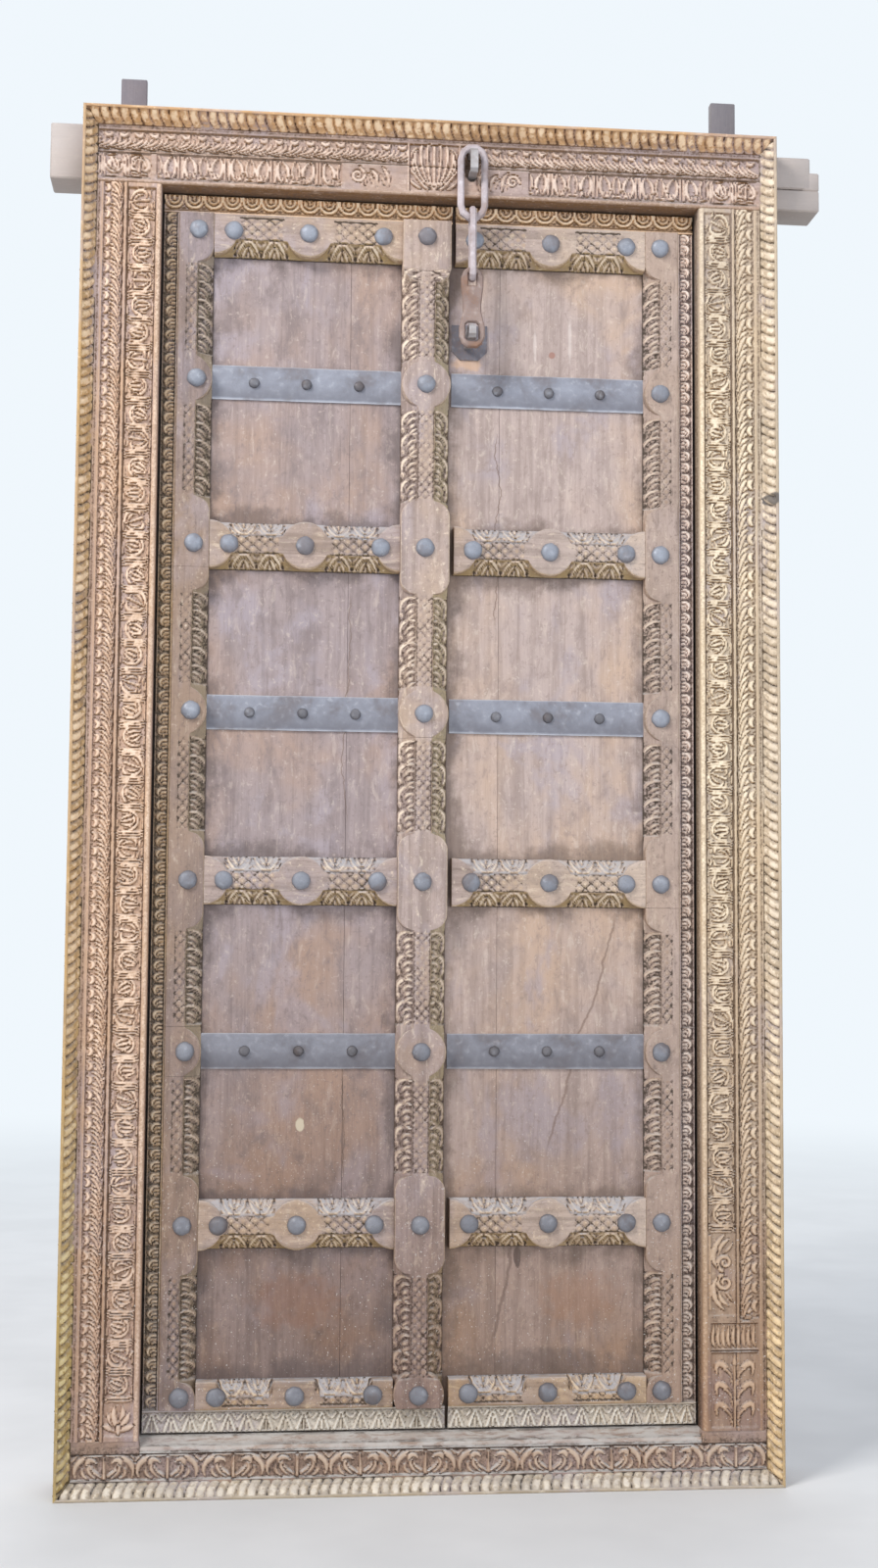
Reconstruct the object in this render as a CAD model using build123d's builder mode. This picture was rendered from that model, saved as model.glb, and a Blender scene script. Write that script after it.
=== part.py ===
from build123d import *
import math
import os

# A pair of carved timber temple doors in their own frame, closed, with the hasp chain hooked up.
# Millimetres. X runs to the right as a visitor sees the front, Y runs away from the visitor,
# Z is up. The origin is on the underside of the sill, in the middle of its width and its depth.
# A "depth" is measured from the carved front face of the frame, away from the visitor.

# Frame
opening_width = 844.0
opening_height = 1897.0
jamb_width = 120.0
head_height = 112.0
sill_height = 79.0
frame_depth = 97.0
rebate_depth = 46.0
rebate_width = 34.0
ledge_drop = 17.0
ledge_run = 32.0

# Head ends that run past the jambs, and the jamb tenons that stand above the head
horn_front = 30.0
horn_height = 88.0
horn_below_top = 10.0
left_horn = 54.0
right_horn = 85.0
right_horn_step = 15.0
right_horn_step_height = 24.0
tenon_width = 40.0
tenon_thickness = 16.0
tenon_front = 31.0
tenon_inset = 67.0
left_tenon_rise = 66.0
right_tenon_rise = 75.0
mortise_clearance = 0.2

# Rope moulding planted round the edge of the face
moulding_width = 22.0
moulding_rise = 26.0
moulding_lip = 4.5
rope_pitch = 35.0
rope_groove = 3.6

# Carved bands on the frame, from the moulding towards the opening
jamb_fillet = 10.0
jamb_outer_band = 30.0
jamb_bead = 6.0
jamb_inner_band = 40.0
head_fillet = 8.0
head_outer_band = 32.0
head_groove = 5.0
head_inner_band = 38.0
sill_band = 36.0
feather_pitch = 42.0
rosette_pitch = 79.0
head_rosette_pitch = 71.0
sill_arch_pitch = 126.0
chip_depth = 4.0

# Leaves: planks, with the trim nailed to their face
edge_gap = 3.0
meeting_offset = 12.0
meeting_gap = 4.0
plank_front = 52.0
plank_thickness = 30.0
left_meeting_plank_width = 135.0
right_meeting_plank_width = 97.0
plank_joint = 0.5
trim_joint = 0.4
border_front = 34.0
border_width = 24.0
top_border_height = 29.0
bottom_border_height = 33.0
left_border_joints = (0.21, 0.60)
right_border_joints = (0.31,)
border_pitch = 50.0

# Stiles, rails and the centre bar
stile_front = 28.0
stile_width = 54.0
bevel_width = 24.0
bevel_edge = 4.0
rail_height = 74.0
rail_flat = 30.0
top_rail_height = 64.0
bottom_rail_height = 41.0
row_count = 6
lowest_row_height = 271.0
highest_row_drop = 263.0
top_studs_below_border = 27.0
bottom_studs_above_border = 19.0
block_height = 146.0
block_corner = 22.0
boss_facets = 12
top_block_height = 77.0
bar_front = 18.0
bar_width = 76.0
bar_overlap = 20.0
border_overlap = 23.0
trim_gap = 5.0
overlap_relief = 1.0
leaf_motif_pitch = 55.0
arch_width = 30.0

# Pivots at the hinge edge of each leaf
pivot_inset = 12.0
pivot_radius = 12.0
pivot_length_top = 36.0
pivot_length_bottom = 27.0
pivot_clearance = 0.08
pivot_end_clearance = 0.3

# Iron straps, studs and strap nails
strap_height = 54.0
strap_thickness = 4.5
strap_under_trim = 34.0
strap_end_gap = 4.0
strap_notch_clearance = 0.3
nail_pitch = 82.0
nail_radius = 8.5
nail_height = 6.0
stud_radius = 15.0
stud_height = 9.0
stud_crown = 0.55
paired_stud_offset = 30.0

# Chain: staple in the head, ring, link and hasp, and the staple in the right leaf
chain_offset = 30.0
chain_depth = -7.0
bar_thickness = 10.5
ring_length = 122.0
ring_width = 48.0
ring_above_opening = 82.0
ring_seat = 1.9
link_bar = 10.0
link_eye = 6.4
link_pitch = 85.75
hasp_length = 127.0
hasp_thickness = 9.0
hasp_top_width = 35.0
hasp_waist = 29.0
hasp_foot_width = 40.0
hasp_bar = 10.0
hasp_eye = 12.6
hasp_hole_width = 21.0
hasp_hole_height = 30.0
iron_chamfer = 2.6
head_staple_width = 12.0
head_staple_height = 38.0
head_staple_reach = 30.0
staple_bar = 4.0
staple_leg = 22.0
staple_slot_clearance = 0.2
leaf_staple_width = 11.0
leaf_staple_height = 22.0
leaf_staple_past_hasp = 8.5
plate_width = 57.0
plate_height = 56.0
plate_thickness = 2.5
plate_corner = 14.0

# Sizes that follow from the ones above
frame_width = opening_width + 2 * jamb_width
opening_low = sill_height
opening_high = sill_height + opening_height
frame_height = opening_high + head_height
opening_side = opening_width / 2
frame_side = frame_width / 2
leaf_low = opening_low + edge_gap
leaf_high = opening_high - edge_gap
leaf_side = opening_side - edge_gap
plank_back = plank_front + plank_thickness
pivot_x = opening_side + pivot_inset
pivot_depth = plank_front + plank_thickness / 2
left_leaf_edge = meeting_offset - meeting_gap / 2
right_leaf_edge = meeting_offset + meeting_gap / 2
bar_right = left_leaf_edge + bar_overlap
bar_left = bar_right - bar_width
border_right = left_leaf_edge + border_overlap
right_trim = border_right + trim_gap
stile_outer = leaf_side - border_width
stile_inner = stile_outer - stile_width
trim_low = leaf_low + bottom_border_height
trim_high = leaf_high - top_border_height
boss_radius = rail_height / 2
lowest_row = trim_low + lowest_row_height
row_pitch = (trim_high - highest_row_drop - lowest_row) / (row_count - 1)
rail_levels = [lowest_row + n * row_pitch for n in range(0, row_count, 2)]
strap_levels = [lowest_row + n * row_pitch for n in range(1, row_count, 2)]
top_stud_level = trim_high - top_studs_below_border
bottom_stud_level = trim_low + bottom_studs_above_border
panel_centres = {"left": (bar_left - stile_inner) / 2, "right": (right_trim + stile_inner) / 2}
strap_front = plank_front - strap_thickness
ring_top = opening_high + ring_above_opening
ring_pivot = ring_top - bar_thickness / 2
link_pivot = ring_top - ring_length + bar_thickness / 2
hasp_pivot = link_pivot - link_pitch
hasp_top = hasp_pivot + hasp_bar / 2
hasp_hole_level = hasp_top - hasp_length + hasp_bar + hasp_hole_height / 2
chain_x = bar_right + chain_offset
moulding_slope = moulding_width - moulding_lip

os.makedirs("parts", exist_ok=True)


def y(depth):
    """The Y of a depth behind the carved face."""
    return depth - frame_depth / 2


def front(depth):
    """A drawing plane at this depth that faces the visitor: x to the right, y up."""
    return Plane.XZ.offset(-y(depth))


def save(piece, name):
    """Label a finished piece and write it to its own file."""
    piece.part.label = name
    export_step(piece.part, f"parts/{name}.step")


def outline(plane, points):
    """A closed flat face through these points of a plane."""
    with BuildSketch(plane) as shape:
        with BuildLine():
            Polyline(*points, close=True)
        make_face()
    return shape.sketch


def run(start, end, normal, pitch, slide=0.5):
    """Places evenly spaced from start to end: x along the run and z out of the face."""
    first = Vector(*start)
    line = Vector(*end) - first
    count = max(1, round(line.length / pitch))
    return [
        Plane(first + line * ((n + slide) / count), x_dir=line, z_dir=normal).location
        for n in range(count)
    ]


def chip(size, points, depth=chip_depth):
    """A chip cutter: its outline in shares of a size, and one point at the bottom of the cut."""
    lift = depth / 4
    grow = 1 + lift / depth
    middle_x = size * sum(point[0] for point in points) / len(points)
    middle_y = size * sum(point[1] for point in points) / len(points)
    wide = [
        (middle_x + grow * (size * a - middle_x), middle_y + grow * (size * b - middle_y))
        for a, b in points
    ]
    with BuildPart() as cutter:
        rim = outline(Plane.XY.offset(lift), wide)
        loft(sections=[rim.face(), Vertex(middle_x, middle_y, -depth)])
    return cutter.part


toward = (0, -1, 0)
feather = chip(jamb_outer_band, [(-0.37, -0.33), (0.3, -0.4), (0.07, 0.4)])
curl_low = chip(jamb_inner_band, [(-0.33, -0.35), (0.1, -0.22), (-0.22, 0.1)])
curl_high = chip(jamb_inner_band, [(0.33, 0.35), (-0.1, 0.22), (0.22, -0.1)])
border_leaf = chip(border_width, [(-0.5, -0.33), (0.46, -0.25), (-0.04, 0.33)])
bevel_leaf = chip(bevel_width, [(-0.66, -0.33), (0.54, -0.42), (0.12, 0.38)])
arch = chip(bevel_width, [(-0.5, -0.33), (0.5, -0.33), (0, 0.38)])
sill_leaf = chip(sill_band, [(-0.47, -0.36), (0.47, -0.36), (0, 0.36)])
petal = chip(head_inner_band, [(-0.21, 0.13), (0.21, 0.13), (0, 0.8)])


# Sill: a beam with a carved front, and a ledge that slopes up to the leaves between the jambs
sill_face = moulding_width + sill_band / 2
with BuildPart() as sill:
    with BuildSketch(front(frame_depth)):
        with Locations((0, sill_height / 2)):
            Rectangle(frame_width, sill_height)
    extrude(amount=frame_depth)
    with BuildSketch(Plane.YZ):
        with BuildLine():
            Polyline(
                (y(0), sill_height - ledge_drop),
                (y(ledge_run), sill_height),
                (y(0), sill_height),
                close=True,
            )
        make_face()
    extrude(amount=opening_side, both=True, mode=Mode.SUBTRACT)
    for x in (-pivot_x, pivot_x):
        with Locations((x, y(pivot_depth), sill_height)):
            Hole(pivot_radius + pivot_clearance, pivot_length_bottom - edge_gap + pivot_end_clearance)
    with Locations(
        *run(
            (-frame_side + moulding_width, y(0), sill_face),
            (frame_side - moulding_width, y(0), sill_face),
            toward,
            sill_arch_pitch / 2,
        )
    ):
        add(sill_leaf, mode=Mode.SUBTRACT)
save(sill, "sill")

# Head: the carved beam, with ends that run past the jambs behind the moulding
tenon_x = opening_side + tenon_inset - tenon_width / 2
horn_high = frame_height - horn_below_top
staple_high = ring_pivot - bar_thickness / 2 - ring_seat
band_end = frame_side - moulding_width
outer_band_level = frame_height - moulding_width - head_fillet - head_outer_band / 2
inner_band_level = outer_band_level - (head_outer_band + head_inner_band) / 2 - head_groove
block_half = 42.0
with BuildPart() as head_beam:
    with BuildSketch(front(frame_depth)):
        with Locations((0, (opening_high + frame_height) / 2)):
            Rectangle(frame_width, head_height)
    extrude(amount=frame_depth)
    with BuildSketch(front(frame_depth)):
        with BuildLine():
            Polyline(
                (-frame_side - left_horn, horn_high),
                (frame_side + right_horn - right_horn_step, horn_high),
                (frame_side + right_horn - right_horn_step, horn_high - right_horn_step_height),
                (frame_side + right_horn, horn_high - right_horn_step_height),
                (frame_side + right_horn, horn_high - horn_height),
                (-frame_side - left_horn, horn_high - horn_height),
                close=True,
            )
        make_face()
    extrude(amount=frame_depth - horn_front)
    with BuildSketch(Plane.XY.offset(opening_high)):
        with Locations(
            (-tenon_x, y(tenon_front + tenon_thickness / 2)),
            (tenon_x, y(tenon_front + tenon_thickness / 2)),
        ):
            Rectangle(tenon_width + 2 * mortise_clearance, tenon_thickness + 2 * mortise_clearance)
    extrude(amount=head_height, mode=Mode.SUBTRACT)
    with BuildSketch(Plane.XY.offset(opening_high)):
        with Locations((-pivot_x, y(pivot_depth)), (pivot_x, y(pivot_depth))):
            Circle(pivot_radius + pivot_clearance)
    extrude(amount=pivot_length_top - edge_gap + pivot_end_clearance, mode=Mode.SUBTRACT)
    with BuildSketch(front(0)):
        with Locations(
            (chain_x, staple_high - staple_bar / 2),
            (chain_x, staple_high - head_staple_height + staple_bar / 2),
        ):
            Rectangle(
                head_staple_width + 2 * staple_slot_clearance, staple_bar + 2 * staple_slot_clearance
            )
    extrude(amount=-staple_leg - staple_slot_clearance, mode=Mode.SUBTRACT)
    with Locations(
        *run((-block_half, y(0), outer_band_level), (-band_end, y(0), outer_band_level), toward,
             feather_pitch),
        *run((block_half, y(0), outer_band_level), (band_end, y(0), outer_band_level), toward,
             feather_pitch),
    ):
        add(feather, mode=Mode.SUBTRACT)
    inner_end = opening_side
    with Locations(
        *run((-inner_end, y(0), inner_band_level), (-block_half, y(0), inner_band_level), toward,
             head_rosette_pitch),
        *run((2.2 * block_half, y(0), inner_band_level), (inner_end, y(0), inner_band_level), toward,
             head_rosette_pitch),
    ):
        add(curl_low, mode=Mode.SUBTRACT)
        add(curl_high, mode=Mode.SUBTRACT)
    with Locations(Plane((-block_half / 4, y(0), inner_band_level + 12), x_dir=(1, 0, 0), z_dir=toward)):
        with PolarLocations(0, 5):
            add(petal, mode=Mode.SUBTRACT)
save(head_beam, "head_beam")


def build_jamb(side, rise):
    """One jamb, side -1 on the left and 1 on the right, with the tenon that pins the head."""
    outer_band_x = side * (frame_side - moulding_width - jamb_fillet - jamb_outer_band / 2)
    inner_band_x = outer_band_x - side * (jamb_outer_band + jamb_inner_band + 2 * jamb_bead) / 2
    with BuildPart() as jamb:
        with BuildSketch(Plane.XY.offset(opening_low)):
            with BuildLine():
                Polyline(
                    (side * opening_side, y(0)),
                    (side * frame_side, y(0)),
                    (side * frame_side, y(frame_depth)),
                    (side * (opening_side + rebate_width), y(frame_depth)),
                    (side * (opening_side + rebate_width), y(rebate_depth)),
                    (side * opening_side, y(rebate_depth)),
                    close=True,
                )
            make_face()
        extrude(amount=opening_height)
        with BuildSketch(Plane.XY.offset(opening_high)):
            with Locations((side * tenon_x, y(tenon_front + tenon_thickness / 2))):
                Rectangle(tenon_width, tenon_thickness)
        extrude(amount=head_height + rise)
        with Locations(
            *run((outer_band_x, y(0), opening_low), (outer_band_x, y(0), opening_high), toward,
                 feather_pitch)
        ):
            add(feather, mode=Mode.SUBTRACT)
        with Locations(
            *run((inner_band_x, y(0), opening_low), (inner_band_x, y(0), opening_high), toward,
                 rosette_pitch)
        ):
            add(curl_low, mode=Mode.SUBTRACT)
            add(curl_high, mode=Mode.SUBTRACT)
    return jamb


save(build_jamb(-1, left_tenon_rise), "left_jamb")
save(build_jamb(1, right_tenon_rise), "right_jamb")


def build_moulding(length, direction, outward):
    """One rope moulding, mitred at both ends, centred on its length along direction."""
    along = Vector(*direction)
    out = Vector(*outward)
    middle = Vector(0, 0, frame_height / 2)
    reach = frame_side if abs(out.X) > 0 else frame_height / 2
    corner = middle + out * (reach - moulding_width) + Vector(0, y(0), 0)
    slope = out * moulding_slope + Vector(0, -moulding_rise, 0)
    rope_face = slope.cross(along).normalized()
    if rope_face.Y > 0:
        rope_face = rope_face * -1
    section = Plane(corner - along * (length / 2), x_dir=out, z_dir=along)
    rises = 1 if section.y_dir.Y < 0 else -1
    count = round(length / rope_pitch)
    pitch = length / count
    crests = []
    for n in range(count):
        crests.append(((n - count / 2) * pitch, 0))
        crests.append(((n + 0.5 - count / 2) * pitch, -rope_groove))
    crests.append((length / 2, 0))
    below = -3 * moulding_width
    rope_plane = Plane(corner - slope, x_dir=along, z_dir=slope)
    up = 1 if rope_plane.y_dir.dot(rope_face) > 0 else -1
    zigzag = outline(
        rope_plane,
        [(a, up * b) for a, b in crests] + [(length / 2, up * below), (-length / 2, up * below)],
    )
    with BuildPart() as moulding:
        add(extrude(zigzag, amount=3 * slope.length, mode=Mode.PRIVATE))
        wedge = outline(section, [(0, 0), (moulding_slope, rises * moulding_rise), (moulding_slope, 0)])
        add(extrude(wedge, amount=length, mode=Mode.PRIVATE), mode=Mode.INTERSECT)
        lip = outline(
            section,
            [
                (moulding_slope, 0),
                (moulding_slope, rises * moulding_rise),
                (moulding_width, rises * moulding_rise),
                (moulding_width, 0),
            ],
        )
        add(extrude(lip, amount=length, mode=Mode.PRIVATE))
        for end in (-1, 1):
            tip = corner + out * moulding_width + along * (end * length / 2)
            split(bisect_by=Plane(tip, z_dir=along * -end + out), keep=Keep.TOP)
    return moulding


save(build_moulding(frame_width, (1, 0, 0), (0, 0, 1)), "moulding_top")
save(build_moulding(frame_width, (1, 0, 0), (0, 0, -1)), "moulding_bottom")
save(build_moulding(frame_height, (0, 0, 1), (-1, 0, 0)), "moulding_left")
save(build_moulding(frame_height, (0, 0, 1), (1, 0, 0)), "moulding_right")


def build_hinge_plank(side, joint_x):
    """The plank on the hinge side of a leaf, round at its edge, with a pivot at each end."""
    axis = (side * pivot_x, y(pivot_depth))
    half = plank_thickness / 2
    facets = 6
    edge = []
    for n in range(facets + 1):
        turn = math.pi * (n / facets - 0.5)
        edge.append((axis[0] + side * half * math.cos(turn), axis[1] + half * math.sin(turn)))
    with BuildPart() as plank:
        with BuildSketch(Plane.XY.offset(leaf_low)):
            with BuildLine():
                Polyline(
                    *edge,
                    (joint_x, y(plank_back)),
                    (joint_x, y(plank_front)),
                    close=True,
                )
            make_face()
        extrude(amount=leaf_high - leaf_low)
        with BuildSketch(Plane.XY.offset(leaf_low - pivot_length_bottom)):
            with Locations(axis):
                Circle(pivot_radius)
        extrude(amount=leaf_high - leaf_low + pivot_length_bottom + pivot_length_top)
    return plank


def build_board(x_low, x_high, z_low, z_high, depth, thickness):
    """A plain board, given by its sides, its face's depth and its thickness."""
    with BuildPart() as board:
        with BuildSketch(front(depth + thickness)):
            with Locations(((x_low + x_high) / 2, (z_low + z_high) / 2)):
                Rectangle(x_high - x_low, z_high - z_low)
        extrude(amount=thickness)
    return board


left_plank_joint = left_leaf_edge - left_meeting_plank_width
right_plank_joint = right_leaf_edge + right_meeting_plank_width
save(build_hinge_plank(-1, left_plank_joint - plank_joint), "left_hinge_plank")
save(
    build_board(left_plank_joint, left_leaf_edge, leaf_low, leaf_high, plank_front, plank_thickness),
    "left_meeting_plank",
)
save(build_hinge_plank(1, right_plank_joint + plank_joint), "right_hinge_plank")

leaf_staple_depth = chain_depth - hasp_thickness / 2 - leaf_staple_past_hasp
right_meeting_plank = build_board(
    right_leaf_edge, right_plank_joint, leaf_low, leaf_high, plank_front, plank_thickness
)
with right_meeting_plank:
    with BuildSketch(front(plank_front)) as slots:
        for end in (-1, 1):
            with Locations((chain_x, hasp_hole_level + end * (leaf_staple_height - staple_bar) / 2)):
                Rectangle(
                    leaf_staple_width + 2 * staple_slot_clearance,
                    staple_bar + 2 * staple_slot_clearance,
                )
    extrude(slots.sketch, amount=-staple_leg - staple_slot_clearance, mode=Mode.SUBTRACT)
save(right_meeting_plank, "right_meeting_plank")


def build_border(x_low, x_high, z_low, z_high, turned):
    """One strip of a leaf's carved border. Turned strips run upright."""
    strip = build_board(x_low, x_high, z_low, z_high, border_front, plank_front - border_front)
    middle_x = (x_low + x_high) / 2
    middle_z = (z_low + z_high) / 2
    start = (middle_x, y(border_front), z_low) if turned else (x_low, y(border_front), middle_z)
    end = (middle_x, y(border_front), z_high) if turned else (x_high, y(border_front), middle_z)
    with strip:
        with Locations(*run(start, end, toward, border_pitch)):
            add(border_leaf, mode=Mode.SUBTRACT)
    return strip


def relieve_overlap(piece, z_low, z_high):
    """Clear the back of what lies over the other leaf, so that it never rubs."""
    with piece:
        with BuildSketch(front(plank_front)) as relief:
            with Locations(((left_leaf_edge + border_right) / 2, (z_low + z_high) / 2)):
                Rectangle(border_overlap, z_high - z_low)
        extrude(relief.sketch, amount=overlap_relief, mode=Mode.SUBTRACT)


border_ends = {"left": (-leaf_side, border_right), "right": (right_trim, leaf_side)}
for name, (x_low, x_high) in border_ends.items():
    top_border = build_border(x_low, x_high, trim_high, leaf_high, False)
    bottom_border = build_border(x_low, x_high, leaf_low, trim_low, False)
    if name == "left":
        relieve_overlap(top_border, trim_high, leaf_high)
        relieve_overlap(bottom_border, leaf_low, trim_low)
    save(top_border, f"{name}_border_top")
    save(bottom_border, f"{name}_border_bottom")

border_joints = {"left": left_border_joints, "right": right_border_joints}
for name, joints in border_joints.items():
    side = -1 if name == "left" else 1
    levels = [trim_low + share * (trim_high - trim_low) for share in (0, *joints, 1)]
    x_low, x_high = sorted((side * leaf_side, side * stile_outer))
    for n in range(len(levels) - 1):
        strip = build_border(x_low, x_high, levels[n] + trim_joint, levels[n + 1] - trim_joint, True)
        save(strip, f"{name}_border_side_{n + 1}")


def cut_strap_notches(levels, x_low, x_high):
    """Cut the backs of the open piece where the straps pass under it."""
    for level in levels:
        with BuildSketch(front(plank_front)) as notch:
            with Locations(((x_low + x_high) / 2, level)):
                Rectangle(x_high - x_low, strap_height + 2 * strap_notch_clearance)
        extrude(notch.sketch, amount=strap_thickness + strap_notch_clearance, mode=Mode.SUBTRACT)


def eased_block(x_low, x_high, z_low, z_high):
    """A block's outline, each corner rounded in two flat cuts."""
    points = []
    for x, z, turn_x, turn_z, upright in (
        (x_low, z_low, 1, 1, False),
        (x_low, z_high, 1, -1, True),
        (x_high, z_high, -1, -1, False),
        (x_high, z_low, -1, 1, True),
    ):
        steps = [(1, 0), (0.3, 0.3), (0, 1)]
        for a, b in reversed(steps) if upright else steps:
            points.append((x + turn_x * a * block_corner, z + turn_z * b * block_corner))
    return points


def raised_outlines(plane, z_low, z_high, inner, outer, block_outer, boss_x, radius):
    """Where one length of an upright trim keeps its full height: plain blocks and strap bosses."""
    spans = [(level - block_height / 2, level + block_height / 2) for level in rail_levels]
    spans.append((trim_high - top_block_height, trim_high + block_corner))
    spans.append((trim_low - block_corner, trim_low + bottom_rail_height))
    with BuildSketch(plane) as raised:
        for low, high in spans:
            with BuildLine():
                Polyline(*eased_block(*sorted((inner, block_outer)), low, high), close=True)
            make_face()
        for level in strap_levels:
            with Locations((boss_x, level)):
                RegularPolygon(radius, boss_facets)
        with Locations(((inner + outer) / 2, (z_low + z_high) / 2)):
            Rectangle(abs(inner - outer), z_high - z_low, mode=Mode.INTERSECT)
    return raised.sketch


def free_runs(z_low, z_high):
    """The stretches of an upright trim that are carved, between its blocks and bosses."""
    stops = [(level - block_height / 2, level + block_height / 2) for level in rail_levels]
    stops += [(level - boss_radius, level + boss_radius) for level in strap_levels]
    stops.append((trim_high - top_block_height, trim_high))
    stops.append((trim_low, trim_low + bottom_rail_height))
    stops.sort()
    runs = []
    for (_, low), (high, _) in zip(stops, stops[1:]):
        low = max(low, z_low)
        high = min(high, z_high)
        if high - low > leaf_motif_pitch:
            runs.append((low, high))
    return runs


def build_stile(side, z_low, z_high):
    """A length of the hinge side's upright trim, with its bevel towards the panels."""
    outer = side * stile_outer
    inner = side * stile_inner
    crest = inner + side * bevel_width
    edge_depth = plank_front - bevel_edge
    with BuildPart() as stile:
        with BuildSketch(Plane.XY.offset(z_low)):
            with BuildLine():
                Polyline(
                    (outer, y(plank_front)),
                    (outer, y(stile_front)),
                    (crest, y(stile_front)),
                    (inner, y(edge_depth)),
                    (inner, y(plank_front)),
                    close=True,
                )
            make_face()
        extrude(amount=z_high - z_low)
        raised = raised_outlines(
            front(plank_front),
            z_low,
            z_high,
            inner,
            outer,
            outer + side * block_corner,
            inner + side * boss_radius,
            boss_radius,
        )
        extrude(raised, amount=plank_front - stile_front)
        held = [level for level in strap_levels if z_low < level < z_high]
        cut_strap_notches(held, *sorted((inner, inner + side * (strap_under_trim + trim_joint))))
        slope = Vector(-side * (edge_depth - stile_front), -bevel_width, 0)
        middle = (inner + side * bevel_width / 2, y((stile_front + edge_depth) / 2))
        for low, high in free_runs(z_low, z_high):
            with Locations(*run((*middle, low), (*middle, high), slope, leaf_motif_pitch)):
                add(bevel_leaf, mode=Mode.SUBTRACT)
    return stile


stile_cuts = {
    "left": (
        trim_low,
        strap_levels[0] - boss_radius - trim_joint,
        strap_levels[0] + boss_radius + trim_joint,
        rail_levels[2] - boss_radius,
        trim_high,
    ),
    "right": (trim_low, rail_levels[1] - boss_radius, trim_high),
}
for name, cuts in stile_cuts.items():
    side = -1 if name == "left" else 1
    for n in range(len(cuts) - 1):
        piece = build_stile(side, cuts[n] + trim_joint / 2, cuts[n + 1] - trim_joint / 2)
        save(piece, f"{name}_stile_{n + 1}")


def build_rail(x_low, x_high, z_low, z_high, stud_level, bevels):
    """A rail between a stile and the centre bar: round bosses at both ends and the middle."""
    edge_depth = plank_front - bevel_edge
    rail_bevel = (rail_height - rail_flat) / 2
    low_crest = z_low + (rail_bevel if "low" in bevels else 0)
    high_crest = z_high - (rail_bevel if "high" in bevels else 0)
    section = [(y(plank_front), z_low), (y(plank_front), z_high)]
    if "high" in bevels:
        section.append((y(edge_depth), z_high))
    section.append((y(stile_front), high_crest))
    section.append((y(stile_front), low_crest))
    if "low" in bevels:
        section.append((y(edge_depth), z_low))
    centres = (x_low, (x_low + x_high) / 2, x_high)
    drop = edge_depth - stile_front
    with BuildPart() as rail:
        with BuildSketch(Plane.YZ.offset(x_low)):
            with BuildLine():
                Polyline(*section, close=True)
            make_face()
        extrude(amount=x_high - x_low)
        with BuildSketch(front(plank_front)):
            for centre in centres:
                with Locations((centre, stud_level)):
                    RegularPolygon(boss_radius, boss_facets)
            with Locations(((x_low + x_high) / 2, (z_low + z_high) / 2)):
                Rectangle(x_high - x_low, z_high - z_low, mode=Mode.INTERSECT)
        extrude(amount=plank_front - stile_front)
        for start, end in zip(centres, centres[1:]):
            middle = (start + end) / 2
            for bevel in bevels:
                up = 1 if bevel == "high" else -1
                edge = z_high if up > 0 else z_low
                level = edge - up * rail_bevel / 2
                with Locations(
                    *[
                        Plane(
                            (middle + shift * arch_width / 2, y((stile_front + edge_depth) / 2), level),
                            x_dir=(1, 0, 0),
                            z_dir=(0, -rail_bevel, up * drop),
                        ).location
                        for shift in (-1, 1)
                    ]
                ):
                    add(arch, mode=Mode.SUBTRACT)
    return rail


rail_spans = {
    "left": (-stile_inner + trim_joint, bar_left - trim_joint),
    "right": (right_trim, stile_inner - trim_joint),
}
for name, (x_low, x_high) in rail_spans.items():
    low_rail = build_rail(
        x_low, x_high, trim_low + trim_joint, trim_low + bottom_rail_height, bottom_stud_level, ["high"]
    )
    save(low_rail, f"{name}_rail_1")
    for n, level in enumerate(rail_levels):
        rail = build_rail(
            x_low, x_high, level - rail_height / 2, level + rail_height / 2, level, ["low", "high"]
        )
        save(rail, f"{name}_rail_{n + 2}")
    top_rail = build_rail(
        x_low, x_high, trim_high - top_rail_height, trim_high - trim_joint, top_stud_level, ["low"]
    )
    save(top_rail, f"{name}_rail_5")


def build_bar(z_low, z_high):
    """A length of the centre bar, which the left leaf carries over the meeting joint."""
    edge_depth = plank_front - bevel_edge
    back = plank_front - overlap_relief
    middle_x = (bar_left + bar_right) / 2
    with BuildPart() as bar:
        with BuildSketch(Plane.XY.offset(z_low)):
            with BuildLine():
                Polyline(
                    (bar_left, y(plank_front)),
                    (bar_left, y(edge_depth)),
                    (bar_left + bevel_width, y(bar_front)),
                    (bar_right - bevel_width, y(bar_front)),
                    (bar_right, y(edge_depth)),
                    (bar_right, y(back)),
                    (left_leaf_edge, y(back)),
                    (left_leaf_edge, y(plank_front)),
                    close=True,
                )
            make_face()
        extrude(amount=z_high - z_low)
        raised = raised_outlines(
            front(back), z_low, z_high, bar_left, bar_right, bar_right, middle_x, bar_width / 2
        )
        extrude(raised, amount=back - bar_front)
        held = [level for level in strap_levels if z_low < level < z_high]
        cut_strap_notches(held, bar_left, bar_left + strap_under_trim + trim_joint)
        for side in (-1, 1):
            slope = Vector(side * (edge_depth - bar_front), -bevel_width, 0)
            middle = (
                middle_x + side * (bar_width - bevel_width) / 2,
                y((bar_front + edge_depth) / 2),
            )
            for low, high in free_runs(z_low, z_high):
                with Locations(*run((*middle, low), (*middle, high), slope, leaf_motif_pitch)):
                    add(bevel_leaf, mode=Mode.SUBTRACT)
    return bar


bar_joint = strap_levels[1] - boss_radius
save(build_bar(trim_low + trim_joint, bar_joint - trim_joint / 2), "centre_bar_lower")
save(build_bar(bar_joint + trim_joint / 2, trim_high - trim_joint), "centre_bar_upper")

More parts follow.
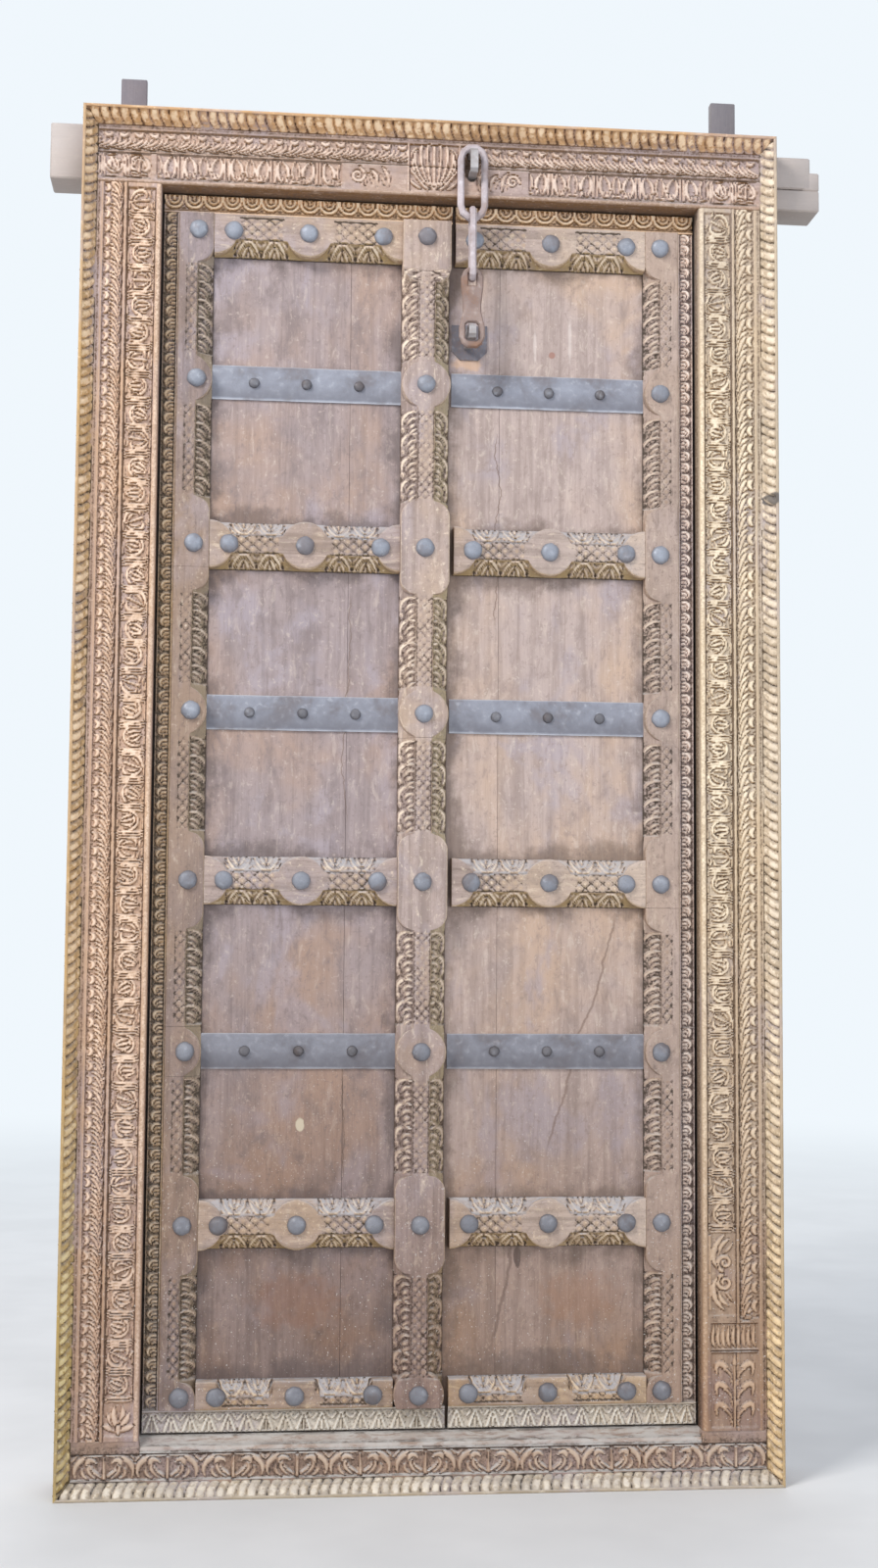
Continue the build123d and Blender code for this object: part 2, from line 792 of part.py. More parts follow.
# Iron straps across the planks, with their ends under the stiles and, on the left, the bar
strap_spans = {
    "left": (-stile_inner - strap_under_trim, bar_left + strap_under_trim),
    "right": (bar_right + strap_end_gap, stile_inner + strap_under_trim),
}
for name, (x_low, x_high) in strap_spans.items():
    for n, level in enumerate(strap_levels):
        with BuildPart() as strap:
            with BuildSketch(front(plank_front)):
                with Locations(((x_low + x_high) / 2, level)):
                    Rectangle(x_high - x_low, strap_height)
            extrude(amount=strap_thickness)
            front_edges = strap.faces().sort_by(Axis.Y)[0].edges().filter_by(Axis.X)
            chamfer(front_edges, strap_thickness / 3)
        save(strap, f"{name}_strap_{n + 1}")


def dome(radius, height, sides):
    """A hand-forged nail head: a low crown with flat facets."""
    inset = radius * (1 - stud_crown) * math.cos(math.pi / sides)
    with BuildPart() as head:
        with BuildSketch():
            RegularPolygon(radius, sides)
        extrude(amount=height, taper=math.degrees(math.atan2(inset, height)))
    return head.part


stud_head = dome(stud_radius, stud_height, 7)
nail_head = dome(nail_radius, nail_height, 6)


def heads_at(shape, spots):
    """One group of loose nail heads, each standing out at (x, z, depth)."""
    with BuildPart() as group:
        with Locations(*[Plane((x, y(depth), z), z_dir=toward).location for x, z, depth in spots]):
            add(shape)
    return group


levels = [bottom_stud_level, *rail_levels, top_stud_level]
for name, (x_low, x_high) in rail_spans.items():
    side = -1 if name == "left" else 1
    stile_x = side * (stile_inner + bevel_width)
    spots = []
    for level in levels:
        spots.append((stile_x, level, stile_front))
        spots.append((x_low + paired_stud_offset, level, stile_front))
        spots.append(((x_low + x_high) / 2, level, stile_front))
        spots.append((x_high - paired_stud_offset, level, stile_front))
    spots += [(stile_x, level, stile_front) for level in strap_levels]
    if name == "left":
        bar_x = (bar_left + bar_right) / 2
        spots += [(bar_x, level, bar_front) for level in levels + strap_levels]
    save(heads_at(stud_head, spots), f"{name}_studs")
    nails = [
        (panel_centres[name] + n * nail_pitch, level, strap_front)
        for level in strap_levels
        for n in (-1, 0, 1)
    ]
    save(heads_at(nail_head, nails), f"{name}_strap_nails")


def build_staple(width, height, level, tip, root):
    """A flat bar bent into a staple on its side, its two legs driven in."""
    bend = 1.3 * staple_bar
    low = level - height / 2
    high = level + height / 2
    with BuildPart() as staple:
        with BuildSketch(Plane.YZ.offset(chain_x - width / 2)):
            with BuildLine():
                Polyline(
                    (y(root), high),
                    (y(tip) + bend, high),
                    (y(tip), high - bend),
                    (y(tip), low + bend),
                    (y(tip) + bend, low),
                    (y(root), low),
                    (y(root), low + staple_bar),
                    (y(tip) + bend + staple_bar / 3, low + staple_bar),
                    (y(tip) + staple_bar, low + bend + staple_bar / 3),
                    (y(tip) + staple_bar, high - bend - staple_bar / 3),
                    (y(tip) + bend + staple_bar / 3, high - staple_bar),
                    (y(root), high - staple_bar),
                    close=True,
                )
            make_face()
        extrude(amount=width)
    return staple


head_staple = build_staple(
    head_staple_width,
    head_staple_height,
    staple_high - head_staple_height / 2,
    -head_staple_reach,
    staple_leg,
)
save(head_staple, "head_staple")
leaf_staple = build_staple(
    leaf_staple_width, leaf_staple_height, hasp_hole_level, leaf_staple_depth, plank_front + staple_leg
)
save(leaf_staple, "leaf_staple")

with BuildPart() as staple_plate:
    plate_left = bar_right + strap_end_gap
    with BuildSketch(front(plank_front)):
        with Locations((plate_left + plate_width / 2, hasp_hole_level)):
            plate_outline = Rectangle(plate_width, plate_height)
        chamfer(plate_outline.vertices().group_by(Axis.Y)[0], plate_corner)
        for end in (-1, 1):
            with Locations((chain_x, hasp_hole_level + end * (leaf_staple_height - staple_bar) / 2)):
                Rectangle(
                    leaf_staple_width + 2 * staple_slot_clearance,
                    staple_bar + 2 * staple_slot_clearance,
                    mode=Mode.SUBTRACT,
                )
    extrude(amount=plate_thickness)
save(staple_plate, "staple_plate")


def long_link(plane, eye_radius, bar, pitch, thickness):
    """A long link drawn about its upper eye, with flat-sided round ends and eased edges."""
    facets = 10

    stretch = 1 / math.cos(math.pi / facets)

    def loop(radius):
        points = []
        for end, shift in ((0, 0), (math.pi, -pitch)):
            for n in range(facets // 2 + 1):
                turn = end + math.pi * n / (facets // 2)
                points.append((radius * math.cos(turn), radius * math.sin(turn) * stretch + shift))
        return points

    with BuildPart() as link:
        extrude(outline(plane, loop(eye_radius + bar)), amount=thickness / 2, both=True)
        extrude(
            outline(plane, loop(eye_radius)), amount=thickness / 2, both=True, mode=Mode.SUBTRACT
        )
        rims = link.faces().filter_by(Axis(plane.origin, plane.z_dir))
        chamfer([edge for rim in rims for edge in rim.edges()], iron_chamfer)
    return link


ring_eye = ring_width / 2 - bar_thickness
ring_plane = Plane((chain_x, y(chain_depth), ring_top - ring_width / 2), x_dir=(1, 0, 0), z_dir=toward)
save(
    long_link(ring_plane, ring_eye, bar_thickness, ring_length - ring_width, bar_thickness),
    "chain_ring",
)
link_plane = Plane((chain_x, y(chain_depth), link_pivot), x_dir=(0, 1, 0), z_dir=(1, 0, 0))
save(long_link(link_plane, link_eye, link_bar, link_pitch, link_bar), "chain_link")

# Hasp: a long loop pinched at the waist, with an eye for the link and a hole for the staple
half_outline = [
    (hasp_top_width * 0.2, 0),
    (hasp_top_width * 0.4, -hasp_top_width * 0.18),
    (hasp_top_width / 2, -hasp_top_width * 0.45),
    (hasp_top_width / 2, -hasp_top_width * 0.8),
    (hasp_waist / 2, -hasp_length * 0.45),
    (hasp_waist / 2, -hasp_length * 0.56),
    (hasp_foot_width / 2, -hasp_length + hasp_foot_width * 0.8),
    (hasp_foot_width / 2, -hasp_length + hasp_foot_width * 0.42),
    (hasp_foot_width * 0.38, -hasp_length + hasp_foot_width * 0.14),
    (hasp_foot_width * 0.2, -hasp_length),
]
hasp_outline = [(chain_x + a, hasp_top + b) for a, b in half_outline]
hasp_outline += [(chain_x - a, hasp_top + b) for a, b in reversed(half_outline)]
half_width = hasp_hole_width / 2
half_height = hasp_hole_height / 2
hole_corner = hasp_hole_width / 5
hasp_hole = [
    (chain_x + a * (half_width - m), hasp_hole_level + b * (half_height - n))
    for a, b, m, n in (
        (1, 1, hole_corner, 0),
        (1, 1, 0, hole_corner),
        (1, -1, 0, hole_corner),
        (1, -1, hole_corner, 0),
        (-1, -1, hole_corner, 0),
        (-1, -1, 0, hole_corner),
        (-1, 1, 0, hole_corner),
        (-1, 1, hole_corner, 0),
    )
]
with BuildPart() as chain_hasp:
    with BuildSketch(front(chain_depth + hasp_thickness / 2)):
        with BuildLine():
            Polyline(*hasp_outline, close=True)
        make_face()
        with Locations((chain_x, hasp_top - hasp_bar - hasp_eye * 0.75)):
            Rectangle(hasp_eye, hasp_eye * 1.5, mode=Mode.SUBTRACT)
        with BuildLine():
            Polyline(*hasp_hole, close=True)
        make_face(mode=Mode.SUBTRACT)
    extrude(amount=hasp_thickness)
    rims = chain_hasp.faces().filter_by(Axis.Y)
    chamfer([edge for rim in rims for edge in rim.edges()], iron_chamfer * 0.8)
save(chain_hasp, "chain_hasp")
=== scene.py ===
import itertools
import math

import bpy
import numpy as np
from mathutils import Matrix, Vector


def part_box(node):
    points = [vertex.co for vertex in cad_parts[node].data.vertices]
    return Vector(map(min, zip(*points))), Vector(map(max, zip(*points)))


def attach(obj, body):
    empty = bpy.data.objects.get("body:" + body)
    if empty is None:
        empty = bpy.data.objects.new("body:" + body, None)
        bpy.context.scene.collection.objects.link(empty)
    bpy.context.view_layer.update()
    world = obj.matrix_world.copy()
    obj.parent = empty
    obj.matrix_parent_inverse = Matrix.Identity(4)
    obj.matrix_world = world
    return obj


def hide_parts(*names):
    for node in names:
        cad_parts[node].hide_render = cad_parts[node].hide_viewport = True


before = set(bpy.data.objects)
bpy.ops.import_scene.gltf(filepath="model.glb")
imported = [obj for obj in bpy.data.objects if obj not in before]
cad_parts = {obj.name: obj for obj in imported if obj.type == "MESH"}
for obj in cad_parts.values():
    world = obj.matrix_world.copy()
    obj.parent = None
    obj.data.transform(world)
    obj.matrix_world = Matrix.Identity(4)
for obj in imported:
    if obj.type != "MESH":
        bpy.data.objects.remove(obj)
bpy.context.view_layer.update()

# The looks of a pair of carved temple doors. Lengths here are millimetres in the part's frame:
# x to the right, y away from the viewer, z up. A depth is measured from the carved front face.

FRAME_DEPTH = 97.0
FRAME_SIDE = 542.0
FRAME_HEIGHT = 2088.0
OPENING_SIDE = 422.0
OPENING_LOW = 79.0
OPENING_HIGH = 1976.0
REBATE_SIDE = 456.0
REBATE_DEPTH = 46.0
MOULDING = 22.0
TRIM_LOW = 115.0
TRIM_HIGH = 1944.0
STILE_OUTER = 395.0
STILE_INNER = 341.0
BAR_LEFT = -46.0
RIGHT_TRIM = 38.0
FOOT_LEVEL = 134.0
RAILS = (386.0, 904.0, 1422.0)
TOP_LEVEL = 1917.0
STRAPS = (645.0, 1163.0, 1681.0)
CHAIN_X = 60.0

# Depths of the carved fronts, and of the low edge of a sloping trim
BAR_FRONT = 18.0
TRIM_FRONT = 28.0
BORDER_FRONT = 34.0
STRAP_FRONT = 47.5
TRIM_EDGE = 48.0
PLANK_FRONT = 52.0

RAIL_LEVELS = (FOOT_LEVEL, *RAILS, TOP_LEVEL)
NAIL_PITCH = 82.0
SIDES = (-1, 1)


def depth_y(depth):
    return depth - FRAME_DEPTH / 2


def smooth(edge_low, edge_high, value):
    t = np.clip((value - edge_low) / (edge_high - edge_low), 0.0, 1.0)
    return t * t * (3.0 - 2.0 * t)


def bell(value, centre, width):
    return np.exp(-(((value - centre) / width) ** 2))


def noise(u, v, size, seed):
    """Smooth random values from -1 to 1, about one bump each size millimetres."""
    table = np.random.default_rng(seed).uniform(-1.0, 1.0, (64, 64))
    a = np.asarray(u, float) / size + 17.3
    b = np.asarray(v, float) / size + 5.1
    i = np.floor(a).astype(int)
    j = np.floor(b).astype(int)
    s = a - i
    t = b - j
    s = s * s * (3.0 - 2.0 * s)
    t = t * t * (3.0 - 2.0 * t)
    low = table[i % 64, j % 64] * (1 - s) + table[(i + 1) % 64, j % 64] * s
    high = table[i % 64, (j + 1) % 64] * (1 - s) + table[(i + 1) % 64, (j + 1) % 64] * s
    return low * (1 - t) + high * t


def steps(low, high, size):
    """Even places from low to high, about a size apart."""
    return np.linspace(low, high, int(round((high - low) / size)) + 1)


# Carving


class Field:
    """Heights of a carved strip. u runs across it, v along it, and cuts are negative.
    shade runs from -1 in the cuts to 1 on the crests, and colours the wood: painted shade in the cuts and
    painted highlights on the crests, with some dirt and wear."""

    def __init__(self, u, v):
        self.u = np.asarray(u, float)
        self.v = np.asarray(v, float)
        self.height = np.zeros((len(self.v), len(self.u)))
        self.shade = np.zeros_like(self.height)

    def window(self, low_u, high_u, low_v, high_v):
        return (
            slice(np.searchsorted(self.v, low_v), np.searchsorted(self.v, high_v)),
            slice(np.searchsorted(self.u, low_u), np.searchsorted(self.u, high_u)),
        )

    def near(self, points, width, margin):
        """The cells near a curve, how far each is from it, and the stroke's half width there."""
        points = np.asarray(points, float)
        width = np.broadcast_to(np.asarray(width, float), (len(points),))
        reach = width.max() + margin
        (low_u, low_v), (high_u, high_v) = points.min(0) - reach, points.max(0) + reach
        rows, cols = self.window(low_u, high_u, low_v, high_v)
        u = self.u[cols][None, :, None]
        v = self.v[rows][:, None, None]
        if u.size == 0 or v.size == 0:
            return None
        start, end = points[:-1], points[1:]
        run = end - start
        length = np.maximum((run**2).sum(1), 1e-9)
        along = np.clip(((u - start[:, 0]) * run[:, 0] + (v - start[:, 1]) * run[:, 1]) / length, 0, 1)
        away = np.hypot(u - start[:, 0] - along * run[:, 0], v - start[:, 1] - along * run[:, 1])
        half = width[:-1] + along * (width[1:] - width[:-1])
        best = np.argmin(away - half, axis=2)[:, :, None]
        away = np.take_along_axis(away, best, 2)[:, :, 0]
        half = np.take_along_axis(half, best, 2)[:, :, 0]
        return rows, cols, away, half

    def groove(self, points, width, depth, sharp=1.0):
        """Cut along a curve."""
        found = self.near(points, width, 0.0)
        if found is None:
            return
        rows, cols, away, half = found
        cut = depth * np.clip(1.0 - away / half, 0.0, 1.0) ** sharp
        spot = self.height[rows, cols]
        np.minimum(spot, -cut, out=spot)
        # The cut is coloured as painted shade
        tone = self.shade[rows, cols]
        np.minimum(tone, np.where(cut > 0.1, 0.2 - 1.5 * cut / depth, 1.0), out=tone)

    def sink(self, low_u, high_u, low_v, high_v, depth, soft=1.5, tone=-0.12):
        """Lower the ground between the edges of a band."""
        rows, cols = self.window(low_u - soft, high_u + soft, low_v - soft, high_v + soft)
        inside = 1.0
        for low, high, places in (
            (low_u, high_u, self.u[cols][None, :]), (low_v, high_v, self.v[rows][:, None]),
        ):
            inside = inside * smooth(low - soft / 2, low + soft / 2, places)
            inside = inside * smooth(high + soft / 2, high - soft / 2, places)
        self.height[rows, cols] = self.height[rows, cols] * (1 - inside) - depth * inside
        # The sunk ground takes the given tone, mostly a little painted shade
        self.shade[rows, cols] = self.shade[rows, cols] * (1 - inside) + tone * inside

    def strand(self, points, width, drop=5.0, top=0.0, gap=0.9, tone=1.0):
        """A rounded stroke that is left standing, with a cut round it."""
        found = self.near(points, width, gap)
        if found is None:
            return
        rows, cols, away, half = found
        spot = self.height[rows, cols]
        shade = self.shade[rows, cols]
        around = away < half + gap
        spot[around] = np.minimum(spot, -drop)[around]
        # Painted shade in the cut round the stroke
        line = np.clip((half + gap - away) / gap, 0.0, 1.0)
        shade[around] = np.minimum(shade, -0.85 * line)[around]
        inside = away < half
        round_top = np.sqrt(np.clip(1.0 - (away / np.maximum(half, 0.01)) ** 2, 0.0, 1.0))
        spot[inside] = (top - drop * 0.75 * (1.0 - round_top))[inside]
        # The rounded top is pale: a painted highlight
        shade[inside] = (-0.25 + (tone + 0.25) * round_top**1.3)[inside]

    def strokes(self, place, drop, *strokes):
        """Strands of one drawing. Each gives its corners, its half widths, and any top, gap and tone."""
        for corners, width, *rest in strokes:
            points = corners if len(corners) == 2 else curve(*corners, count=len(width))
            self.strand(place(points), width, drop, *rest)

    def pits(self, place, *spots):
        """Round holes of one drawing. Each gives its place, its radius and its depth."""
        for spot, radius, depth in spots:
            u, v = place(spot)[0]
            self.groove([(u, v), (u + 0.01, v)], radius, depth, 0.7)

    def lines(self, edges, start, end, width, depth):
        """Straight cuts along the strip."""
        for edge in edges:
            self.groove([(edge, start), (edge, end)], width, depth)

    def ripple(self, *waves):
        """Uneven ground. Each wave gives its height, its size and its seed."""
        u, line = self.u[None, :], self.v[:, None]
        self.height += sum(height * noise(u, line, size, seed) for height, size, seed in waves)


def spiral(centre, outer, inner, start, turns, count):
    """Points on a volute that winds in from its outer radius."""
    share = np.linspace(0, 1, count)
    turn = math.radians(start) + share * turns * 2 * math.pi
    radius = outer + (inner - outer) * share**0.8
    return np.stack([centre[0] + radius * np.cos(turn), centre[1] + radius * np.sin(turn)], axis=1)


def curve(*corners, count=9):
    """A smooth curve through three or four corners, as a Bezier of that degree."""
    corners = np.asarray(corners, float)
    t = np.linspace(0, 1, count)[:, None]
    degree = len(corners) - 1
    total = 0
    for k, corner in enumerate(corners):
        total = total + math.comb(degree, k) * t**k * (1 - t) ** (degree - k) * corner
    return total


# Meshes


def make_piece(name, points, faces, body, material, painted_shade_highlight_and_wear, smooth_angle=55.0):
    """One piece of the part from points in millimetres, with a tone for each point: painted shade where it
    is low, painted highlight and wear where it is high.
    """
    mesh = bpy.data.meshes.new(name)
    mesh.from_pydata((np.asarray(points, float) / 1000.0).tolist(), [], faces)
    mesh.validate()
    # Each point's painted shade and highlight, with dirt and wear
    layer = mesh.attributes.new("painted_shade_highlight_and_wear", "FLOAT", "POINT")
    layer.data.foreach_set("value", np.asarray(painted_shade_highlight_and_wear, np.float32).ravel())
    mesh.shade_smooth()
    mesh.set_sharp_from_angle(angle=math.radians(smooth_angle))
    mesh.update()
    piece = bpy.data.objects.new(name, mesh)
    bpy.context.collection.objects.link(piece)
    piece.data.materials.append(material)
    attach(piece, body)
    return piece


def swept(name, rings, body, material, painted_shade_highlight_and_wear, turned=False, smooth_angle=55.0, extra=None):
    """A closed bar from rings of points: an array of rows, points in a row, and x y z.
    turned takes each ring the other way round, so that the faces look outwards."""
    if turned:
        rings, painted_shade_highlight_and_wear = rings[:, ::-1], painted_shade_highlight_and_wear[:, ::-1]
    rows, count, _ = rings.shape
    grid = np.arange(rows * count).reshape(rows, count)
    after = np.roll(grid, -1, axis=1)
    quads = np.stack([grid[:-1], after[:-1], after[1:], grid[1:]], axis=-1).reshape(-1, 4)
    faces = [*quads.tolist(), grid[0][::-1].tolist(), grid[-1].tolist()]
    points = rings.reshape(-1, 3)
    if extra:
        more_points, more_faces = extra
        faces += [[n + len(points) for n in face] for face in more_faces]
        points = np.concatenate([points, more_points])
        painted_shade_highlight_and_wear = np.concatenate([np.ravel(painted_shade_highlight_and_wear), np.zeros(len(more_points))])
    return make_piece(name, points, faces, body, material, painted_shade_highlight_and_wear, smooth_angle)


# The corners of a block's side, in order
ROUND = [(-1, -1), (1, -1), (1, 1), (-1, 1)]


def block(low, high, wear):
    """Points and faces of a plain timber block with slightly worn arrises."""
    points = []
    faces = []
    for axis, sign in itertools.product(range(3), SIDES):
        base = len(points)
        for signs in ROUND:
            spot = []
            for n, end in enumerate((*signs[:axis], sign, *signs[axis:])):
                spot.append((high if end > 0 else low)[n] - end * wear * (n != axis))
            points.append(spot)
        face = [base, base + 1, base + 2, base + 3]
        faces.append(face[::-1] if (sign > 0) == (axis == 1) else face)

    def corner(axis, signs):
        """The number of the point where a corner meets the face across an axis."""
        return (axis * 2 + (signs[axis] > 0)) * 4 + ROUND.index((*signs[:axis], *signs[axis + 1 :]))

    for signs in itertools.product(SIDES, repeat=3):
        faces.append([corner(n, signs) for n in range(3)])
    for axis in range(3):
        one, two = (n for n in range(3) if n != axis)
        for signs in itertools.product(SIDES, repeat=2):
            start, end = ((*signs[:axis], sign, *signs[axis:]) for sign in SIDES)
            faces.append([corner(one, start), corner(one, end), corner(two, end), corner(two, start)])
    return np.array(points, float), faces


# Materials


class Nodes:
    """A short way to lay out a material's nodes."""

    def __init__(self, name):
        self.material = bpy.data.materials.new(name)
        self.material.use_nodes = True
        self.tree = self.material.node_tree
        self.shader = self.tree.nodes["Principled BSDF"]

    def add(self, kind, **settings):
        node = self.tree.nodes.new(kind)
        for key, value in settings.items():
            setattr(node, key, value)
        return node

    def link(self, source, target):
        self.tree.links.new(source, target)

    def fill(self, sockets, values):
        """Sets each socket to a number or a colour, or links it to another node's output."""
        for socket, value in zip(sockets, values):
            if isinstance(value, (int, float)):
                socket.default_value = value
            elif isinstance(value, tuple):
                socket.default_value = (*value, 1.0)
            else:
                self.link(value, socket)

    def noise(self, scale, detail=4.0, rough=0.55, twist=0.0):
        """Noise over the part's own place. scale is one number, or one for each axis."""
        coordinates = self.add("ShaderNodeTexCoord")
        mapping = self.add("ShaderNodeMapping")
        mapping.inputs["Scale"].default_value = (scale,) * 3 if isinstance(scale, float) else scale
        self.link(coordinates.outputs["Object"], mapping.inputs["Vector"])
        node = self.add("ShaderNodeTexNoise")
        self.link(mapping.outputs["Vector"], node.inputs["Vector"])
        sockets = [node.inputs[name] for name in ("Scale", "Detail", "Roughness", "Distortion")]
        self.fill(sockets, (1.0, detail, rough, twist))
        return node.outputs["Fac"]

    def remap(self, value, low, high, to_low=0.0, to_high=1.0):
        node = self.add("ShaderNodeMapRange", interpolation_type="SMOOTHSTEP")
        sockets = [node.inputs[name] for name in ("Value", "From Min", "From Max", "To Min", "To Max")]
        self.fill(sockets, (value, low, high, to_low, to_high))
        return node.outputs["Result"]

    def math(self, operation, a, b=0.0):
        node = self.add("ShaderNodeMath", operation=operation)
        self.fill(node.inputs[:2], (a, b))
        return node.outputs["Value"]

    def times(self, a, b):
        return self.math("MULTIPLY", a, b)

    def mix(self, share, a, b, blend="MIX"):
        node = self.add("ShaderNodeMix", data_type="RGBA", blend_type=blend)
        self.fill((node.inputs[0], node.inputs[6], node.inputs[7]), (share, a, b))
        return node.outputs[2]

    def layer(self, under, over, value, low, high, share=1.0):
        """One colour over another, from nothing where value is low to a share where it is high."""
        return self.mix(self.remap(value, low, high, 0.0, share), under, over)

    def painted_shade_highlight_and_wear(self):
        """The painted shade and highlight of the carving, with its dirt and wear: -1 in the cuts, 1 on the
        crests.
        """
        return self.add("ShaderNodeAttribute", attribute_name="painted_shade_highlight_and_wear").outputs["Fac"]

    def position(self, axis, output="Object"):
        """Where a point is along an axis of the part, in metres."""
        coordinates = self.add("ShaderNodeTexCoord")
        split = self.add("ShaderNodeSeparateXYZ")
        self.link(coordinates.outputs[output], split.inputs[0])
        return split.outputs[axis]

    def facing(self, axis):
        """How far the surface faces along an axis of the part."""
        return self.position(axis, "Normal")

    def front(self):
        """1 on a surface that faces the viewer's side of the part, 0 elsewhere."""
        return self.remap(self.facing("Y"), -0.1, -0.5)

    def bump(self, height, strength, distance, under=None):
        node = self.add("ShaderNodeBump")
        sockets = [node.inputs[name] for name in ("Strength", "Distance", "Height")]
        self.fill(sockets, (strength, distance, height))
        if under is not None:
            self.link(under, node.inputs["Normal"])
        return node.outputs["Normal"]

    def finish(self, colour, rough, normal=None, metallic=0.0):
        sockets = [self.shader.inputs[name] for name in ("Base Color", "Roughness", "Metallic")]
        self.fill(sockets, (colour, rough, metallic))
        if normal is not None:
            self.link(normal, self.shader.inputs["Normal"])
        return self.material


LILAC = (0.40, 0.345, 0.385)
# Near black: painted shade in the deep gaps between the leaves and the frame
GAP_PAINTED_SHADE = (0.022, 0.016, 0.013)
SPATTER = (0.66, 0.62, 0.58)
GOLD_SHADE = (0.205, 0.098, 0.024)
DUST = (0.50, 0.46, 0.43)


def timber(
    name, body, warm, pale, dark, dust=DUST, dust_share=0.5, along=2, stain=0.35, carved=True,
    under=None, low=None, low_from=1.05, side_tint=None, right_tint=None, marks=(), haze_share=0.6,
    streak=0.45,
):
    """Old oiled and weathered wood: long grain, stains, painted shade in the cuts, painted highlights with
    wear on the crests, and dust.
    """
    n = Nodes(name)

    def stretched(across, length):
        """A scale for noise that is drawn out along the grain."""
        scale = [across] * 3
        scale[along] = length
        return scale

    grain = n.noise(stretched(520.0, 16.0), 5.0, 0.6, 0.3)
    figure = n.noise(stretched(75.0, 3.0), 4.0, 0.55, 0.8)
    fleck = n.noise(stretched(95.0, 30.0), 6.0, 0.7, 0.6)
    cloud = n.noise((4.0, 4.0, 3.0), 4.0, 0.6, 0.4)
    blotch = n.noise((24.0, 24.0, 15.0), 5.0, 0.65, 0.5)
    haze = n.noise((7.0, 9.0, 5.0), 4.0, 0.65, 0.5)
    speck = n.noise(140.0, 3.0, 0.6)
    shadow = n.mix(0.5, body, dark)
    colour = n.mix(n.remap(figure, 0.30, 0.62), n.mix(streak, body, dark), body)
    colour = n.layer(colour, warm, cloud, 0.44, 0.66, 0.75)
    colour = n.layer(colour, LILAC, haze, 0.50, 0.64, haze_share)
    if right_tint:
        colour = n.layer(colour, right_tint, n.position("X"), 0.0, 0.5, 0.75)
    if side_tint:
        colour = n.layer(colour, side_tint, n.facing("X"), 0.2, 0.7, 0.6)
    if under:
        colour = n.layer(colour, under, n.facing("Z"), -0.15, -0.65, 0.92)
    colour = n.mix(n.times(n.remap(blotch, 0.48, 0.72), stain), colour, shadow)
    colour = n.mix(n.times(n.remap(grain, 0.56, 0.74), 0.5), colour, shadow)
    colour = n.layer(colour, shadow, fleck, 0.53, 0.68, 0.5)
    colour = n.layer(colour, pale, fleck, 0.46, 0.32, 0.4)
    colour = n.layer(colour, pale, speck, 0.60, 0.72, 0.45)
    colour = n.layer(colour, shadow, speck, 0.42, 0.30, 0.45)
    # Carved wood: warm flanks, painted highlights with wear on the crests, painted shade in the cuts
    if carved:
        cut = n.painted_shade_highlight_and_wear()
        ragged = n.math("ADD", cut, n.remap(n.noise(260.0, 4.0, 0.7), 0.25, 0.75, -0.3, 0.3))
        colour = n.layer(colour, warm, cut, 0.02, 0.30, 0.6)
        crest = n.times(n.remap(ragged, 0.30, 0.85), n.remap(blotch, 0.68, 0.38, 0.45, 1.0))
        colour = n.mix(crest, colour, pale)
        colour = n.layer(colour, dark, ragged, -0.10, -0.62, 0.96)
        # The deepest tones, on the sides of the gaps, take the near black of painted shade
        colour = n.layer(colour, GAP_PAINTED_SHADE, cut, -1.05, -1.5)
    if low:
        ratio = tuple(min(1.0, a / b) for a, b in zip(low, body))
        worn = n.remap(cloud, 0.35, 0.6, 0.75, 1.0)
        near_floor = n.times(n.remap(n.position("Z"), low_from, 0.05), worn)
        colour = n.mix(near_floor, colour, n.mix(1.0, colour, ratio, "MULTIPLY"))
        spatter = n.remap(n.noise(310.0, 2.0, 0.5), 0.66, 0.71, 0.0, 0.8)
        colour = n.mix(n.times(spatter, near_floor), colour, SPATTER)
    up = n.remap(n.facing("Z"), 0.12, 0.75, 0.0, dust_share)
    dusty = n.times(up, n.remap(blotch, 0.3, 0.6, 0.5, 1.0))
    dusty = n.times(dusty, n.remap(fleck, 0.62, 0.46, 0.3, 1.0))
    colour = n.mix(dusty, colour, dust)
    for mask, tint in [make_mark(n) for make_mark in marks]:
        colour = n.mix(mask, colour, tint)
    relief = n.bump(grain, 0.45, 0.0007)
    relief = n.bump(speck, 0.3, 0.0008, relief)
    relief = n.bump(blotch, 0.3, 0.0015, relief)
    return n.finish(colour, n.remap(grain, 0.3, 0.75, 0.62, 0.9), relief)


def spot_mark(x, z, wide, tall, tint, share=0.8, soft=0.5):
    """A stain, knot or chip of one colour on the face, in metres."""

    def make(n):
        across = n.math("DIVIDE", n.math("SUBTRACT", n.position("X"), x), wide)
        upright = n.math("DIVIDE", n.math("SUBTRACT", n.position("Z"), z), tall)
        away = n.math("ADD", n.times(across, across), n.times(upright, upright))
        ragged = n.math("ADD", away, n.remap(n.noise(60.0), 0.2, 0.8, -0.4, 0.4))
        return n.times(n.remap(ragged, 1.0, 1.0 - soft, 0.0, share), n.front()), tint

    return make


def above_mark(low, high, tint, share=0.85):
    """Weathering above a height, in metres."""
    return lambda n: (n.remap(n.position("Z"), low, high, 0.0, share), tint)


def beyond_mark(low, high, tint, share=0.8):
    """Weathering beyond a distance to either side of the middle, in metres."""
    return lambda n: (n.remap(n.math("ABSOLUTE", n.position("X")), low, high, 0.0, share), tint)


